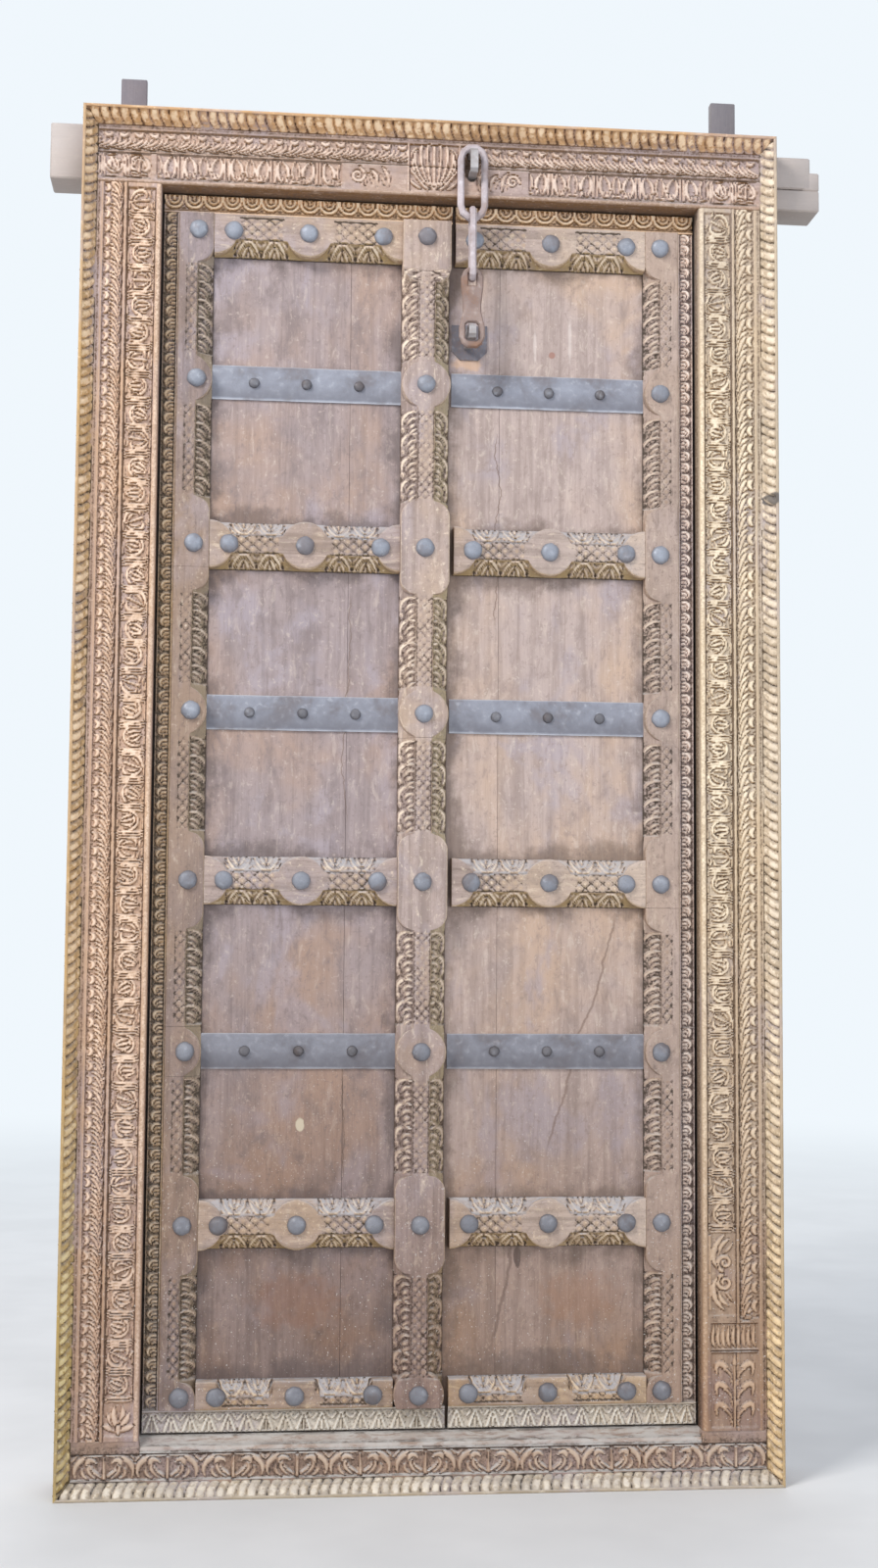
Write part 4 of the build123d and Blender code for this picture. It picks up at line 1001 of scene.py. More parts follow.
def head_beam():
    """The head with its carved front, and the uneven ends that run past the jambs."""
    v = steps(-FRAME_SIDE, FRAME_SIDE, 2.3)
    front = np.concatenate([
        [0.0, 10.0, 20.0, 22.5, 25.0, 27.5], np.arange(29.2, 61.5, 1.65), [63.0, 64.4],
        np.arange(65.6, 105.0, 1.65), [107.0],
    ])
    field = Field(front, v)
    inner = FRAME_SIDE - MOULDING
    feather_band(field, *HEAD_LEAVES, -inner, -42.0, 24.0, 41)
    feather_band(field, *HEAD_LEAVES, 42.0, inner, 24.0, 42, turned=True)
    ogee_band(field, *HEAD_FLOWERS, -430, -145, 71.0, 43)
    ogee_band(field, *HEAD_FLOWERS, 150, 430, 71.0, 44)
    for side in SIDES:
        rosette_band(field, *HEAD_FLOWERS, *sorted((side * 440, side * 515)), 36.0, 45)
        for n, reach in enumerate((22, 40, 58)):
            field.strokes(
                unit_place(0.0, 1.0, 0.0, side), 3.0,
                (((100, 50 + reach), (80, 46 + reach), (70 + 5 * (n % 2), 60 + reach)), FULL, 0.2, 1.2, 0.7),
                (((98, 56 + reach), (88, 56 + reach), (82, 63 + reach)), THIN, 0.1, 1.0, 0.6),
            )
        scroll = spiral((84, 124 if side > 0 else -120), 11, 2.5, 90, side * 1.3, 24)
        field.strand(scroll, np.linspace(2.8, 2.0, 24), 3.4, 0.3, 1.0)
    floral_block(field)
    u, line = field.u, v[:, None]
    field.height += -2.4 * bell(u, 64.2, 1.3) - 1.2 * bell(u, 24.0, 1.6)
    # A pale fillet, and painted shade in the grooves
    field.shade += 0.3 * bell(u, 62.4, 1.0) - 0.9 * bell(u, 64.4, 1.2)
    field.shade -= 0.5 * bell(u, 24.0, 2.0)
    field.ripple((0.4, 41, 46), (0.25, 9, 47))
    # The hollow gouged round the staple
    hollow = np.hypot((u - 63) / 24.0, (line - CHAIN_X) / 12.5) + 0.12 * noise(u, line, 5, 48)
    rough = 2.0 * smooth(1.0, 0.5, hollow) * noise(4 * u, line, 8, 49)
    field.height += -13.0 * smooth(1.05, 0.6, hollow) + rough
    field.height[:, :2] = 0
    tall = FRAME_HEIGHT - OPENING_HIGH
    across, y = beam_outline(front, tall, 5, [(tall, 30.0), (tall, FRAME_DEPTH), (0.0, FRAME_DEPTH)])
    face = len(front)
    rings = np.zeros((len(v), len(across), 3))
    rings[:, :, 0] = line
    rings[:, :, 1] = y
    rings[:, :, 2] = FRAME_HEIGHT - across
    rings[:, :face, 1] -= np.minimum(field.height, 1.2)
    values = np.zeros(rings.shape[:2])
    # Painted shade deep in the hollow round the staple
    values[:, :face] = np.clip(field.shade - 1.2 * smooth(1.1, 0.8, hollow), -1, 1)
    # A pale rounded arris, painted highlight with wear, then painted shade on the soffit under it
    values[:, face : face + RIM] = (0.45, 0.45, 0.3, 0.1, -0.1)
    values[:, face + RIM] = -0.5
    points = []
    faces = []
    for low, high in (
        ((-596, depth_y(30), 1990), (-541, depth_y(97), 2078)),
        ((541, depth_y(30), 2026), (612, depth_y(97), 2078)),
        ((541, depth_y(31), 1990), (627, depth_y(96), 2025)),
        ((600, depth_y(30.5), 2024), (627, depth_y(96.5), 2054)),
    ):
        end_points, end_faces = block(low, high, 2.2)
        faces += [[n + len(points) for n in end_face] for end_face in end_faces]
        points += list(end_points)
    piece = swept("head_timber", rings, "frame", HEAD_WOOD, values, extra=(np.array(points), faces))
    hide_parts("head_beam")


def arch_band(field, low, high, start, end, pitch, seed):
    """Low arches of curled leaves over pointed buds."""
    field.sink(low, high, start, end, 3.8, 1.5, -0.25)
    for _, v0, fitted, source in row(start, end, pitch, seed, 1.5):
        for side in SIDES:
            place = unit_place(low, high, v0, fitted * side)
            lean = source.uniform(-0.03, 0.03)
            field.strokes(
                place, 4.0,
                (((0.96, 0.04), (1.0, 0.34), (0.60, 0.52 + lean), (0.10, 0.44)), 1.35 * FULL, 0.5),
                (((0.10, 0.04), (0.70, 0.42 + lean), (1.0, 0.20), (0.66, 0.12)), 1.35 * FULL, 0.4),
                (((0.05, 0.12), (0.40, 0.30), (0.62, 0.22 + lean)), 1.2 * THIN, 0.2, 0.9, 0.9),
                (((0.04, 0.24), (0.22, 0.36), (0.44, 0.32)), 1.2 * THIN, 0.1, 0.9, 0.85),
                (((0.98, 0.40), (0.80, 0.48), (0.70, 0.50)), 0.8 * THIN, 0.0, 0.7, 0.8),
            )
            field.pits(place, ((0.97, 0.49), 3.2, 5.0))
        field.strand([(low + 2, v0), (low + 0.85 * (high - low), v0)], (3.0, 1.2), 4.0, 0.4)
    field.lines((low, high), start, end, 1.4, 2.4)


def sill():
    """The sill with its carved front and the sloping ledge between the jambs."""
    v = steps(-FRAME_SIDE, FRAME_SIDE, 2.0)
    front = np.concatenate([[0.0, 10.0, 20.0, 22.5], np.arange(23.5, 61.0, 1.65), [62.0]])
    field = Field(front, v)
    arch_band(field, *SILL_LEAVES, -FRAME_SIDE + MOULDING, FRAME_SIDE - MOULDING, 93.0, 51)
    field.ripple((0.4, 41, 52), (0.3, 9, 53))
    field.height[:, :2] = 0
    between = np.abs(v) < OPENING_SIDE
    # Each point of the ledge: its level, depth and tone. The dark tones are painted shade in its creases and
    # in the gap at its back.
    ledge = (
        (62.8, 1.5, -1.0), (66.5, 2.6, 0.1), (69.3, 5.5, 0.2), (69.9, 8.0, -0.9), (72.5, 16.0, 0.0),
        (77.0, 28.0, 0.0), (OPENING_LOW, 33.0, -1.3),
    )
    back = ((OPENING_LOW, 40.0), (OPENING_LOW, FRAME_DEPTH), (0.0, FRAME_DEPTH))
    face = len(front)
    rings = np.zeros((len(v), face + len(ledge) + len(back), 3))
    rings[:, :, 0] = v[:, None]
    rings[:, :face, 1] = depth_y(0) - np.minimum(field.height, 1.0)
    rings[:, :face, 2] = front
    for k, (level, depth, _) in enumerate(ledge):
        rings[:, face + k, 1] = depth_y(depth) + 0.3 * noise(v, 0, 30, 54 + k)
        rings[:, face + k, 2] = np.where(between, level, OPENING_LOW)
    for k, (level, depth) in enumerate(back, face + len(ledge)):
        rings[:, k, 1:] = depth_y(depth), level
    values = np.zeros(rings.shape[:2])
    values[:, :face] = np.clip(field.shade, -1, 1)
    # Painted shade where the front turns in to the ledge
    values[:, face - 1] = -0.3
    values[:, face : face + len(ledge)] = np.where(between[:, None], [tone for *_, tone in ledge], 0.0)
    piece = swept("sill_timber", rings, "frame", SILL_WOOD, values, turned=True)
    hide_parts("sill")


# Rope moulding: twisted strands on a slope, with a plain lip


def rope(name, length, place, seed, turned=False, slant=0.95):
    """place turns (outward, forward, along) in millimetres into x y z. Both ends are mitred."""
    v = steps(-length / 2, length / 2, 1.85)
    slope = np.linspace(0.0, 1.0, 17)
    face = len(slope)
    s = slope[None, :]
    line = v[:, None]
    pitch = length / round(length / 15.0)
    phase = line / pitch + slant * s + 0.18 * np.sin(np.pi * s) + 0.12 * noise(line, 0, 120, seed)
    share = phase - np.floor(phase)
    strand = np.floor(phase).astype(int) % 97
    swell = np.random.default_rng(seed).uniform(-0.9, 0.3, 97)[strand]
    body = np.sqrt(np.clip(1 - (2 * share - 1) ** 2, 0, 1))
    round_across = np.sqrt(np.clip(1 - (2 * s - 1.04) ** 2, 0, 1)) ** 0.7
    eye = np.exp(-(((s - 0.30) / 0.12) ** 2) - ((share - 0.55) / 0.17) ** 2)
    height = -6.5 + 7.0 * body * round_across + swell + 0.3 * noise(31 * s, line, 6, seed + 1)
    height = np.minimum(height - 1.4 * eye, 0.6)
    # Painted shade between the strands and in their eyes, pale crests
    shade = -1 + 2.0 * body**0.9 * np.clip(round_across, 0, 1) ** 0.5 - 0.7 * eye
    shade += 0.45 * swell + 0.35 * noise(31 * s, line, 5, seed + 4)
    wide, tall = 17.5, 26.0
    normal = np.array([-tall, wide]) / math.hypot(tall, wide)
    flat = np.zeros((len(v), face + 6, 2))
    flat[:, :face, 0] = wide * slope + height * normal[0] * smooth(0.0, 0.12, s)
    flat[:, :face, 1] = np.maximum(tall * slope + height * normal[1] * smooth(0.0, 0.12, s), 0.0)
    lip = 17.4 + 0.4 * noise(v, 0, 40, seed + 2)
    top = tall - 0.5 * np.abs(noise(v, 0, 25, seed + 3))
    edge = (
        (lip, top - 1.0), (lip + 0.8, top), (MOULDING - 0.8, top), (MOULDING, top - 0.8), (MOULDING, 0.0),
        (0.5, 0.0),
    )
    for k, (out, forward) in enumerate(edge, face):
        flat[:, k, 0] = out
        flat[:, k, 1] = forward
    limit = length / 2 - MOULDING + flat[:, :, 0]
    rings = place(flat[:, :, 0], flat[:, :, 1], np.clip(line, -limit, limit))
    values = np.zeros(flat.shape[:2])
    values[:, :face] = np.clip(shade, -1, 1)
    values[:, face : face + 4] = 0.15
    piece = swept(name + "_rope", rings, "frame", ROPE_WOOD[name.split("_")[1]], values, turned)
    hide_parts(name)


def rope_side(side):
    """Places for an upright moulding, on the left or the right."""

    def place(out, forward, along):
        x = side * (FRAME_SIDE - MOULDING + out)
        return np.stack([x, depth_y(0) - forward, FRAME_HEIGHT / 2 + along], axis=-1)

    return place


def rope_level(up):
    """Places for a level moulding, at the top or the foot."""

    def place(out, forward, along):
        z = FRAME_HEIGHT - MOULDING + out if up > 0 else MOULDING - out
        return np.stack([along, depth_y(0) - forward, z], axis=-1)

    return place


# Leaf borders


def scroll_style(flip):
    """A running scroll of C leaves, dark behind, with small notches and a cut line on the outer side."""

    def style(field, low, high, start, end, seed):
        cut = low + 3.8 if flip else high - 3.8
        low, high = (low + 4.5, high - 1.0) if flip else (low + 1.0, high - 4.5)
        field.sink(low, high, start, end, 5.0, 1.0, -0.5)
        for _, v0, fitted, source in row(start, end, 18.6, seed, 0.8):
            lean = source.uniform(-0.06, 0.06)
            place = unit_place(low, high, v0, fitted, flip)
            field.strokes(
                place, 5.6,
                (((0.98, 0.44), (0.30, 0.62 + lean), (0.12, 0.10), (0.42, -0.14)), SCROLL, 0.4, 0.6),
                (((0.98, 0.14), (0.66, 0.26 + lean), (0.52, 0.06)), 7 * (1.9,), -0.3, 0.5, 0.8),
                (((0.98, -0.14), (0.80, -0.06), (0.60, -0.20)), 7 * (1.8,), -0.6, 0.5, 0.75),
            )
            field.pits(place, ((0.10, -0.36), 2.6, 6.5))
        field.lines([cut], start, end, 1.1, 2.0)

    return style


def scallop_style(field, low, high, start, end, seed):
    """Hanging scallops with dark holes between them, over a cut line."""
    field.lines([low + 3.5], start, end, 1.2, 2.2)
    low, high = low + 6, high - 1.5
    wide = low - high
    field.sink(low, high, start, end, 5.0, 1.0, -0.3)
    turn = np.radians(np.linspace(-100, 100, 12))
    for _, v0, fitted, _ in row(start, end, 31.0, seed, 1.0):
        for radius, thick, tone in ((0.47, 2.5, 1.0), (0.26, 2.1, 0.85)):
            across = high + wide * (0.10 + 1.55 * radius * np.cos(turn))
            scallop = np.stack([across, v0 + fitted * radius * np.sin(turn)], axis=1)
            field.strand(scallop, thick, 5.6, 0.2, 0.6, tone)
        place = unit_place(high, low, v0, fitted)
        field.strokes(place, 5.6, (((0.08, 0.0), (0.22, 0.0)), 2.0, 0.0, 0.5))
        field.pits(place, ((0.86, 0.5), 3.4, 7.0))


def zigzag_style(field, low, high, start, end, seed):
    """A zigzag of pointed leaves under a cut line."""
    field.lines([high - 4.5], start, end, 1.4, 2.4)
    low, high = low + 1.5, high - 7
    field.sink(low, high, start, end, 4.6, 1.0, -0.15)
    for _, v0, fitted, _ in row(start, end, 28.0, seed, 1.0):
        for side in SIDES:
            field.strokes(
                unit_place(low, high, v0, fitted * side), 5.2,
                (((0.96, 0.04), (0.05, 0.34)), (1.6, 3.0), 0.3, 0.6),
                (((0.97, 0.28), (0.75, 0.36), (0.66, 0.5)), 6 * (1.9,), 0.1, 0.5, 0.85),
            )
        field.strand([(low + 1, v0), (low + 0.5 * (high - low), v0)], 1.9, 5.2, 0.1, 0.5, 0.9)


def border(node, leaf, low, high, upright, seed, style, material):
    """A border strip between its low and high corner, with a worn arris and near black painted shade down
    its sides into the joints.
    """
    across_axis, along_axis = (0, 2) if upright else (2, 0)
    u_low, u_high = low[across_axis], high[across_axis]
    v = steps(low[along_axis], high[along_axis], 2.0)
    u = steps(u_low + 0.8, u_high - 0.8, 1.6)
    field = Field(u, v)
    style(field, u_low, u_high, v[0], v[-1], seed)
    field.ripple((0.5, 26, seed + 7), (0.3, 7, seed + 8))
    rings = np.zeros((len(v), len(u) + 4, 3))
    rings[:, :, across_axis] = np.concatenate([[u_low, u_low], u, [u_high, u_high]])
    arris = [PLANK_FRONT, BORDER_FRONT + 1.2]
    rings[:, :, 1] = depth_y(np.concatenate([arris, np.full(len(u), BORDER_FRONT), arris[::-1]]))
    rings[:, 2:-2, 1] -= np.clip(field.height, -6.5, 1.0)
    rings[:, :, along_axis] = v[:, None]
    values = np.zeros(rings.shape[:2])
    values[:, 2:-2] = np.clip(field.shade, -1, 1)
    # Near black painted shade down the sides into the gaps
    values[:, [0, -1]] = -1.6
    values[:, [1, -2]] = -1.1
    piece = swept(node + "_carved", rings, leaf, material, values, upright)
    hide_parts(node)


# Stiles, rails and the centre bar


def weave(field, middle, half, start, end, pitch):
    """A plait of raised lozenges between two cut lines."""
    rows, cols = field.window(middle - half, middle + half, start, end)
    u = field.u[cols][None, :] - middle
    v = field.v[rows][:, None]
    first = np.abs(((u + v * 0.85) / pitch) % 1.0 - 0.5)
    second = np.abs(((u - v * 0.85) / pitch) % 1.0 - 0.5)
    edge_near = np.maximum(first, second)
    cut = smooth(0.33, 0.49, edge_near)
    worn = 0.65 + 0.35 * noise(u, v, 16, int(abs(start)) % 53)
    field.height[rows, cols] = -3.0 * cut * worn
    # Pale beads, with painted shade in the cuts
    field.shade[rows, cols] = 0.08 + 0.55 * smooth(0.34, 0.10, edge_near) * worn - 0.85 * cut * worn
    edges = (middle - half - 0.8, middle + half + 0.8)
    field.lines([edge for edge in edges if edge > 2], start, end, 1.2, 1.8)


def pointed_leaf(field, place):
    """A slanting pointed leaf with a vein, on a slope."""
    field.strokes(place, 4.6, (((1.0, 0.46), (0.35, 0.50), (0.02, 0.02)), 1.35 * FULL, 0.5))
    field.groove(place(curve((0.86, 0.40), (0.40, 0.38), (0.16, 0.10), count=6)), 1.2, 2.2)
    field.strokes(
        place, 4.6,
        (((1.0, 0.10), (0.62, 0.12), (0.40, -0.16)), 1.1 * THIN, 0.0, 0.8, 0.9),
        (((1.0, -0.18), (0.70, -0.14), (0.50, -0.42)), THIN, -0.2, 0.8, 0.85),
    )
    field.pits(place, ((0.14, -0.30), 3.4, 6.0))


def curled_leaf(field, place):
    """A scrolled leaf with a berry in its bend, on a slope."""
    leaf = ((1.0, 0.40), (0.30, 0.62), (-0.12, 0.10), (0.22, -0.34))
    field.strokes(place, 4.6, (leaf, 1.45 * FULL, 0.6, 1.0))
    field.groove(place(curve((0.70, 0.40), (0.16, 0.34), (0.16, -0.12), count=7)), 1.1, 2.0)
    field.strokes(
        place, 4.6,
        (((1.0, 0.12), (0.60, 0.26), (0.42, -0.08)), 1.1 * THIN, 0.1, 0.8, 0.9),
        (((0.74, -0.14), (0.66, -0.20)), (3.2, 2.6), 0.4),
        (((1.0, -0.32), (0.70, -0.36), (0.50, -0.56)), THIN, 0.0, 0.8, 0.85),
    )
    field.pits(place, ((0.10, -0.50), 3.2, 6.0))


def lobed_leaf(field, place, swell):
    """A pointed arch of two leaves round a bud, on the slope of a rail."""
    for side in SIDES:
        turned = mirrored(place, side)
        leaf = ((0.98, 0.02), (0.86, 0.22), (0.50, 0.26), (0.06, 0.44))
        field.strokes(turned, 4.6, (leaf, 1.5 * FULL * swell, 0.6, 1.0))
        field.groove(turned(curve((0.86, 0.08), (0.62, 0.22), (0.22, 0.36), count=7)), 1.1, 1.8)
        field.strokes(
            turned, 4.6,
            (((0.66, 0.03), (0.40, 0.16), (0.04, 0.20)), 1.1 * THIN * swell, 0.1, 0.8, 0.9),
            (((0.98, 0.30), (0.80, 0.40), (0.62, 0.50)), THIN * swell, -0.1, 0.8, 0.8),
        )
        field.pits(turned, ((0.24, 0.5), 3.0, 6.0))
    field.strokes(place, 4.6, (((0.34, 0.0), (0.06, 0.0)), (1.4, 2.4), 0.3, 0.8, 0.95))
    field.pits(place, ((0.52, 0.0), 1.8, 5.6))


def trim(
    node, body, material, v, width, bevels, crest, front, raised, carving, place, seed,
    back=PLANK_FRONT, turned=False,
):
    """A length of trim. bevels says which edges slope, raised gives the plain raised part's two
    edges at each v, carving fills a field with cuts, and place turns (u, v, depth) into x y z."""
    flat_wide = width - crest * sum(bevels)
    field_u = np.linspace(0, width, int(round(width / 1.5)) + 1)
    field = Field(field_u, v)
    carving(field)
    field.ripple((0.35, 28, seed + 2), (0.22, 7, seed + 3))
    low_edge, high_edge = (side[:, None] for side in raised(v))
    slope_count, flat_count = 11, max(8, int(flat_wide / 2.2))

    def slope(u):
        """Places on a sloping edge, with their depth."""
        down = np.zeros_like(u)
        if bevels[0]:
            down = np.clip(1 - u / crest, 0, 1)
        if bevels[1]:
            down = np.maximum(down, np.clip(1 - (width - u) / crest, 0, 1))
        return u, front + (TRIM_EDGE - front) * down

    t = np.linspace(0, 1, slope_count)[None, :]
    rim = np.minimum(1.3, (high_edge - low_edge) / 4)
    inner_low = low_edge + rim
    spread = np.linspace(0, 1, flat_count)[None, :] * (high_edge - rim - inner_low)
    flat = np.concatenate([low_edge, inner_low + spread, high_edge], axis=1)
    flat_depth = np.full(flat.shape, front)
    flat_depth[:, [0, -1]] += 1.0
    parts = [(flat, flat_depth)]
    if bevels[0]:
        parts.insert(0, slope(t * low_edge))
    if bevels[1]:
        parts.append(slope(high_edge + t * (width - high_edge)))
    across, depth = (np.concatenate(part, axis=1) for part in zip(*parts))
    height = np.empty_like(across)
    shade = np.empty_like(across)
    for n in range(len(v)):
        height[n] = np.interp(across[n], field_u, field.height[n])
        shade[n] = np.interp(across[n], field_u, field.shade[n])
    # A pale arris along the raised part's edges: painted highlight with wear
    first_flat = slope_count if bevels[0] else 0
    for column in (first_flat, first_flat + flat_count + 1):
        shade[:, column] = np.maximum(shade[:, column], 0.55)
    # Painted shade and dirt in the joints at the foot of the slopes
    for sloped, column in zip(bevels, (0, -1)):
        if sloped:
            shade[:, column] = -0.8
    depth = np.minimum(depth - np.clip(height, -6.0, 0.9), back - 0.6)
    ends = np.zeros((len(v), 1))
    across = np.concatenate([ends, across, ends + width], axis=1)
    depth = np.concatenate([ends + back, depth, ends + back], axis=1)
    rings = place(across, np.broadcast_to(v[:, None], across.shape), depth)
    # The walls down to the planks are dark: painted shade
    values = np.full(across.shape, -1.0)
    values[:, 1:-1] = np.clip(shade, -1, 1)
    piece = swept(node + "_carved", rings, body, material, values, turned, smooth_angle=50.0)
    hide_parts(node)


def block_reach(v, base, full, spans, discs, corner=24.0):
    """How far the plain raised part reaches from its centre line at each v."""
    reach = np.full(len(v), base)
    for low, high in spans:
        inside = (v > low) & (v < high)
        near = np.minimum(v - low, high - v)
        inset = np.clip(corner - near, 0, corner)
        curved = full - corner + np.sqrt(np.clip(corner**2 - inset**2, 0, None))
        reach = np.where(inside, np.maximum(reach, curved), reach)
    for centre, radius, offset in discs:
        chord = np.sqrt(np.clip(radius**2 - (v - centre) ** 2, 0, None)) + offset
        reach = np.where(np.abs(v - centre) < radius, np.maximum(reach, chord), reach)
    return np.minimum(reach, full)


BOSS = 38.0
BLOCKS = [(level - 73.0, level + 73.0) for level in RAILS]
ENDS = [(TRIM_HIGH - 77.0, TRIM_HIGH + 30.0), (TRIM_LOW - 30.0, TRIM_LOW + 41.0)]
BOSSES = [(level - BOSS, level + BOSS) for level in STRAPS]


def carve_slopes(field, width, crest, bevels, start, end, tone):
    """Sinks each sloping edge of a trim, and gives the places across it and if it is the high one."""
    for high_side, (low_u, high_u) in enumerate(((0.0, crest - 1.0), (width - crest + 1.0, width))):
        if bevels[high_side]:
            field.sink(low_u, high_u, start, end, 4.2, 1.0, tone)
            yield low_u, high_u, bool(high_side)


def upright_carving(width, crest, bevels, leaf_pitch, seed, flat_pitch, leaf):
    """Carving for a stile or the centre bar: leaves on the slopes and a weave between them."""

    def carving(field):
        v = field.v
        source = np.random.default_rng(seed)
        stops = sorted(BLOCKS + ENDS + BOSSES)
        for (_, start), (end, _) in zip(stops, stops[1:]):
            start, end = max(start + 3, v[0]), min(end - 3, v[-1])
            if end - start <= 20:
                continue
            if bevels[0]:
                middle, half = width / 2, ((width - crest) - crest) / 2 - 2
            else:
                middle, half = width - crest - 9.5, 8.0
            weave(field, middle, half, start + 2, end - 2, flat_pitch)
            for low_u, high_u, flip in carve_slopes(field, width, crest, bevels, start, end, -0.4):
                for _, v0, pitch, _ in row(start, end, leaf_pitch, source, 0.7):
                    leaf(field, unit_place(low_u, high_u, v0, pitch, flip))
        mask = np.ones(len(v))
        for low, high in stops:
            mask *= 1 - smooth(low - 5.0, low, v) * (1 - smooth(high, high + 5.0, v))
        field.height *= mask[:, None]
        field.shade *= mask[:, None]

    return carving


def stile(node, side, low, high, body, seed):
    """A length of the hinge side's upright trim."""
    width, crest, bevels = 54.0, 24.0, (False, True)

    def raised(v):
        bosses = [(level, BOSS, 16.0) for level in STRAPS]
        return np.zeros(len(v)), block_reach(v, width - crest, width, BLOCKS + ENDS, bosses)

    def place(u, v, depth):
        return np.stack([side * (STILE_OUTER - u), depth_y(depth), v], axis=-1)

    carving = upright_carving(width, crest, bevels, 26.0, seed, 14.0, pointed_leaf)
    trim(
        node, body, TRIM_WOOD, steps(low, high, 2.1), width, bevels, crest, TRIM_FRONT, raised, carving,
        place, seed, turned=side > 0,
    )


def centre_bar(node, low, high, seed):
    """A length of the bar that covers the meeting joint."""
    width, crest, bevels = 76.0, 24.5, (True, True)
    spans = BLOCKS + [(TRIM_HIGH - 98.0, TRIM_HIGH + 30)]

    def raised(v):
        bosses = [(level, BOSS, 0.0) for level in (*STRAPS, FOOT_LEVEL)]
        reach = block_reach(v, width / 2 - crest, width / 2, spans, bosses)
        return width / 2 - reach, width / 2 + reach

    def place(u, v, depth):
        return np.stack([BAR_LEFT + u, depth_y(depth), v], axis=-1)

    carving = upright_carving(width, crest, bevels, 34.0, seed, 13.0, curled_leaf)
    trim(
        node, "left_leaf", BAR_WOOD, steps(low, high, 2.1), width, bevels, crest, BAR_FRONT, raised, carving,
        place, seed, back=PLANK_FRONT - 1.0,
    )


def rail(node, body, low, high, z_low, z_high, bevels, level, seed):
    """A rail with round bosses at both ends and in the middle, and leaves on its slopes."""
    width, crest, radius = z_high - z_low, 22.0, 37.0
    middle = (low + high) / 2
    centre = level - z_low

    def raised(v):
        low_edge = np.full(len(v), crest if bevels[0] else 0.0)
        high_edge = np.full(len(v), width - crest if bevels[1] else width)
        for spot in (low, middle, high):
            chord = np.sqrt(np.clip(radius**2 - (v - spot) ** 2, 0, None))
            near = np.abs(v - spot) < radius
            if bevels[0]:
                low_edge = np.where(near, np.minimum(low_edge, centre - chord), low_edge)
            if bevels[1]:
                high_edge = np.where(near, np.maximum(high_edge, centre + chord), high_edge)
        return np.clip(low_edge, 0, width), np.clip(high_edge, 0, width)

    def carving(field):
        source = np.random.default_rng(seed)
        flat_low = crest if bevels[0] else 4.0
        flat_high = width - crest if bevels[1] else width - 4.0
        flat_middle, flat_half = (flat_low + flat_high) / 2, (flat_high - flat_low) / 2 - 3
        for start, end in ((low + BOSS, middle - BOSS), (middle + BOSS, high - BOSS)):
            weave(field, flat_middle, flat_half, start + 2, end - 2, 15.5)
            pitch = (end - start + 10) / 2
            for low_u, high_u, flip in carve_slopes(field, width, crest, bevels, start - 6, end + 6, -0.3):
                for n in range(2):
                    v0 = start - 5 + (n + 0.5) * pitch + source.uniform(-1, 1)
                    lobed_leaf(field, unit_place(low_u, high_u, v0, pitch, flip), source.uniform(0.9, 1.1))

    def place(u, v, depth):
        return np.stack([v, depth_y(depth), z_low + u], axis=-1)

    trim(
        node, body, RAIL_WOOD, steps(low, high, 2.1), width, bevels, crest, TRIM_FRONT, raised, carving,
        place, seed, turned=True,
    )


# Iron: studs, nails and straps


def dome_group(name, node, body, spots, radius, height, seed, material):
    """One group of forged heads, each a low dome with a soft rim, slightly out of round."""
    source = np.random.default_rng(seed)
    around = 18
    # From the rim to the top: painted shade where the head meets the wood, then a faint painted highlight
    # with wear on top
    level_tones = (-1.0, -0.55, -0.15, 0.0, 0.05, 0.12, 0.18)
    levels = len(level_tones) - 1
    points = []
    faces = []
    tones = []
    for x, z, depth in spots:
        base = len(points)
        squash = source.uniform(0.94, 1.0, 2)
        tip = source.uniform(-0.08, 0.08, 2)
        wobble = source.uniform(-0.04, 0.04, around)
        for k, tone in enumerate(level_tones):
            share = k / levels
            r = radius * math.cos(share * math.pi / 2) ** 0.75
            out = height * math.sin(share * math.pi / 2) ** 0.9
            tones += [tone] * around
            for m in range(around):
                turn = 2 * math.pi * m / around
                size = r * (1 + wobble[m] * (1 - share))
                points.append((
                    x + size * squash[0] * math.cos(turn) + tip[0] * out,
                    depth_y(depth) + 0.5 - (out + 0.5 * (k > 0)),
                    z + size * squash[1] * math.sin(turn) + tip[1] * out,
                ))
        for k in range(levels):
            ring = base + k * around
            for m in range(around):
                n = (m + 1) % around
                faces.append([ring + m, ring + n, ring + around + n, ring + around + m])
        faces.append([base + m for m in range(around)][::-1])
    piece = make_piece(name, points, faces, body, material, tones, 60.0)
    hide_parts(node)


def strap(node, body, low, high, seed):
    """A forged strip, a little uneven, with a worn upper edge and a dark lower one."""
    x = steps(low[0], high[0], 7.0)
    share = np.array([0.0, 0.0, 0.03, 0.08, 0.2, 0.35, 0.5, 0.65, 0.8, 0.92, 0.97, 1.0, 1.0])
    front = np.array([1.0, 0.25, 0.05, 0.0, 0.0, 0.0, 0.0, 0.0, 0.0, 0.0, 0.05, 0.25, 1.0])
    # Tones from the low edge round to the high one: painted shade on the underside against the planks, a
    # pale low arris, a darker lower face and a paler high arris
    tone = np.array([-1.0, 0.9, 0.6, -0.95, -0.8, -0.55, -0.35, -0.15, 0.0, 0.05, 0.15, 0.5, 0.1])
    rings = np.zeros((len(x), len(share), 3))
    edge = 0.5 * np.abs(noise(x, 0, 45, seed))[:, None]
    rings[:, :, 0] = x[:, None]
    rings[:, :, 1] = low[1] + front * (high[1] - low[1])
    rings[:, 1:-1, 1] += 0.25 + 0.25 * noise(x[:, None], 40 * share[1:-1], 22, seed)
    rings[:, :, 2] = low[2] + edge + share * (high[2] - low[2] - 2 * edge)
    values = np.broadcast_to(tone, rings.shape[:2])
    piece = swept(node + "_forged", rings, body, STRAP_IRON, values)
    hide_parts(node)


# The frame


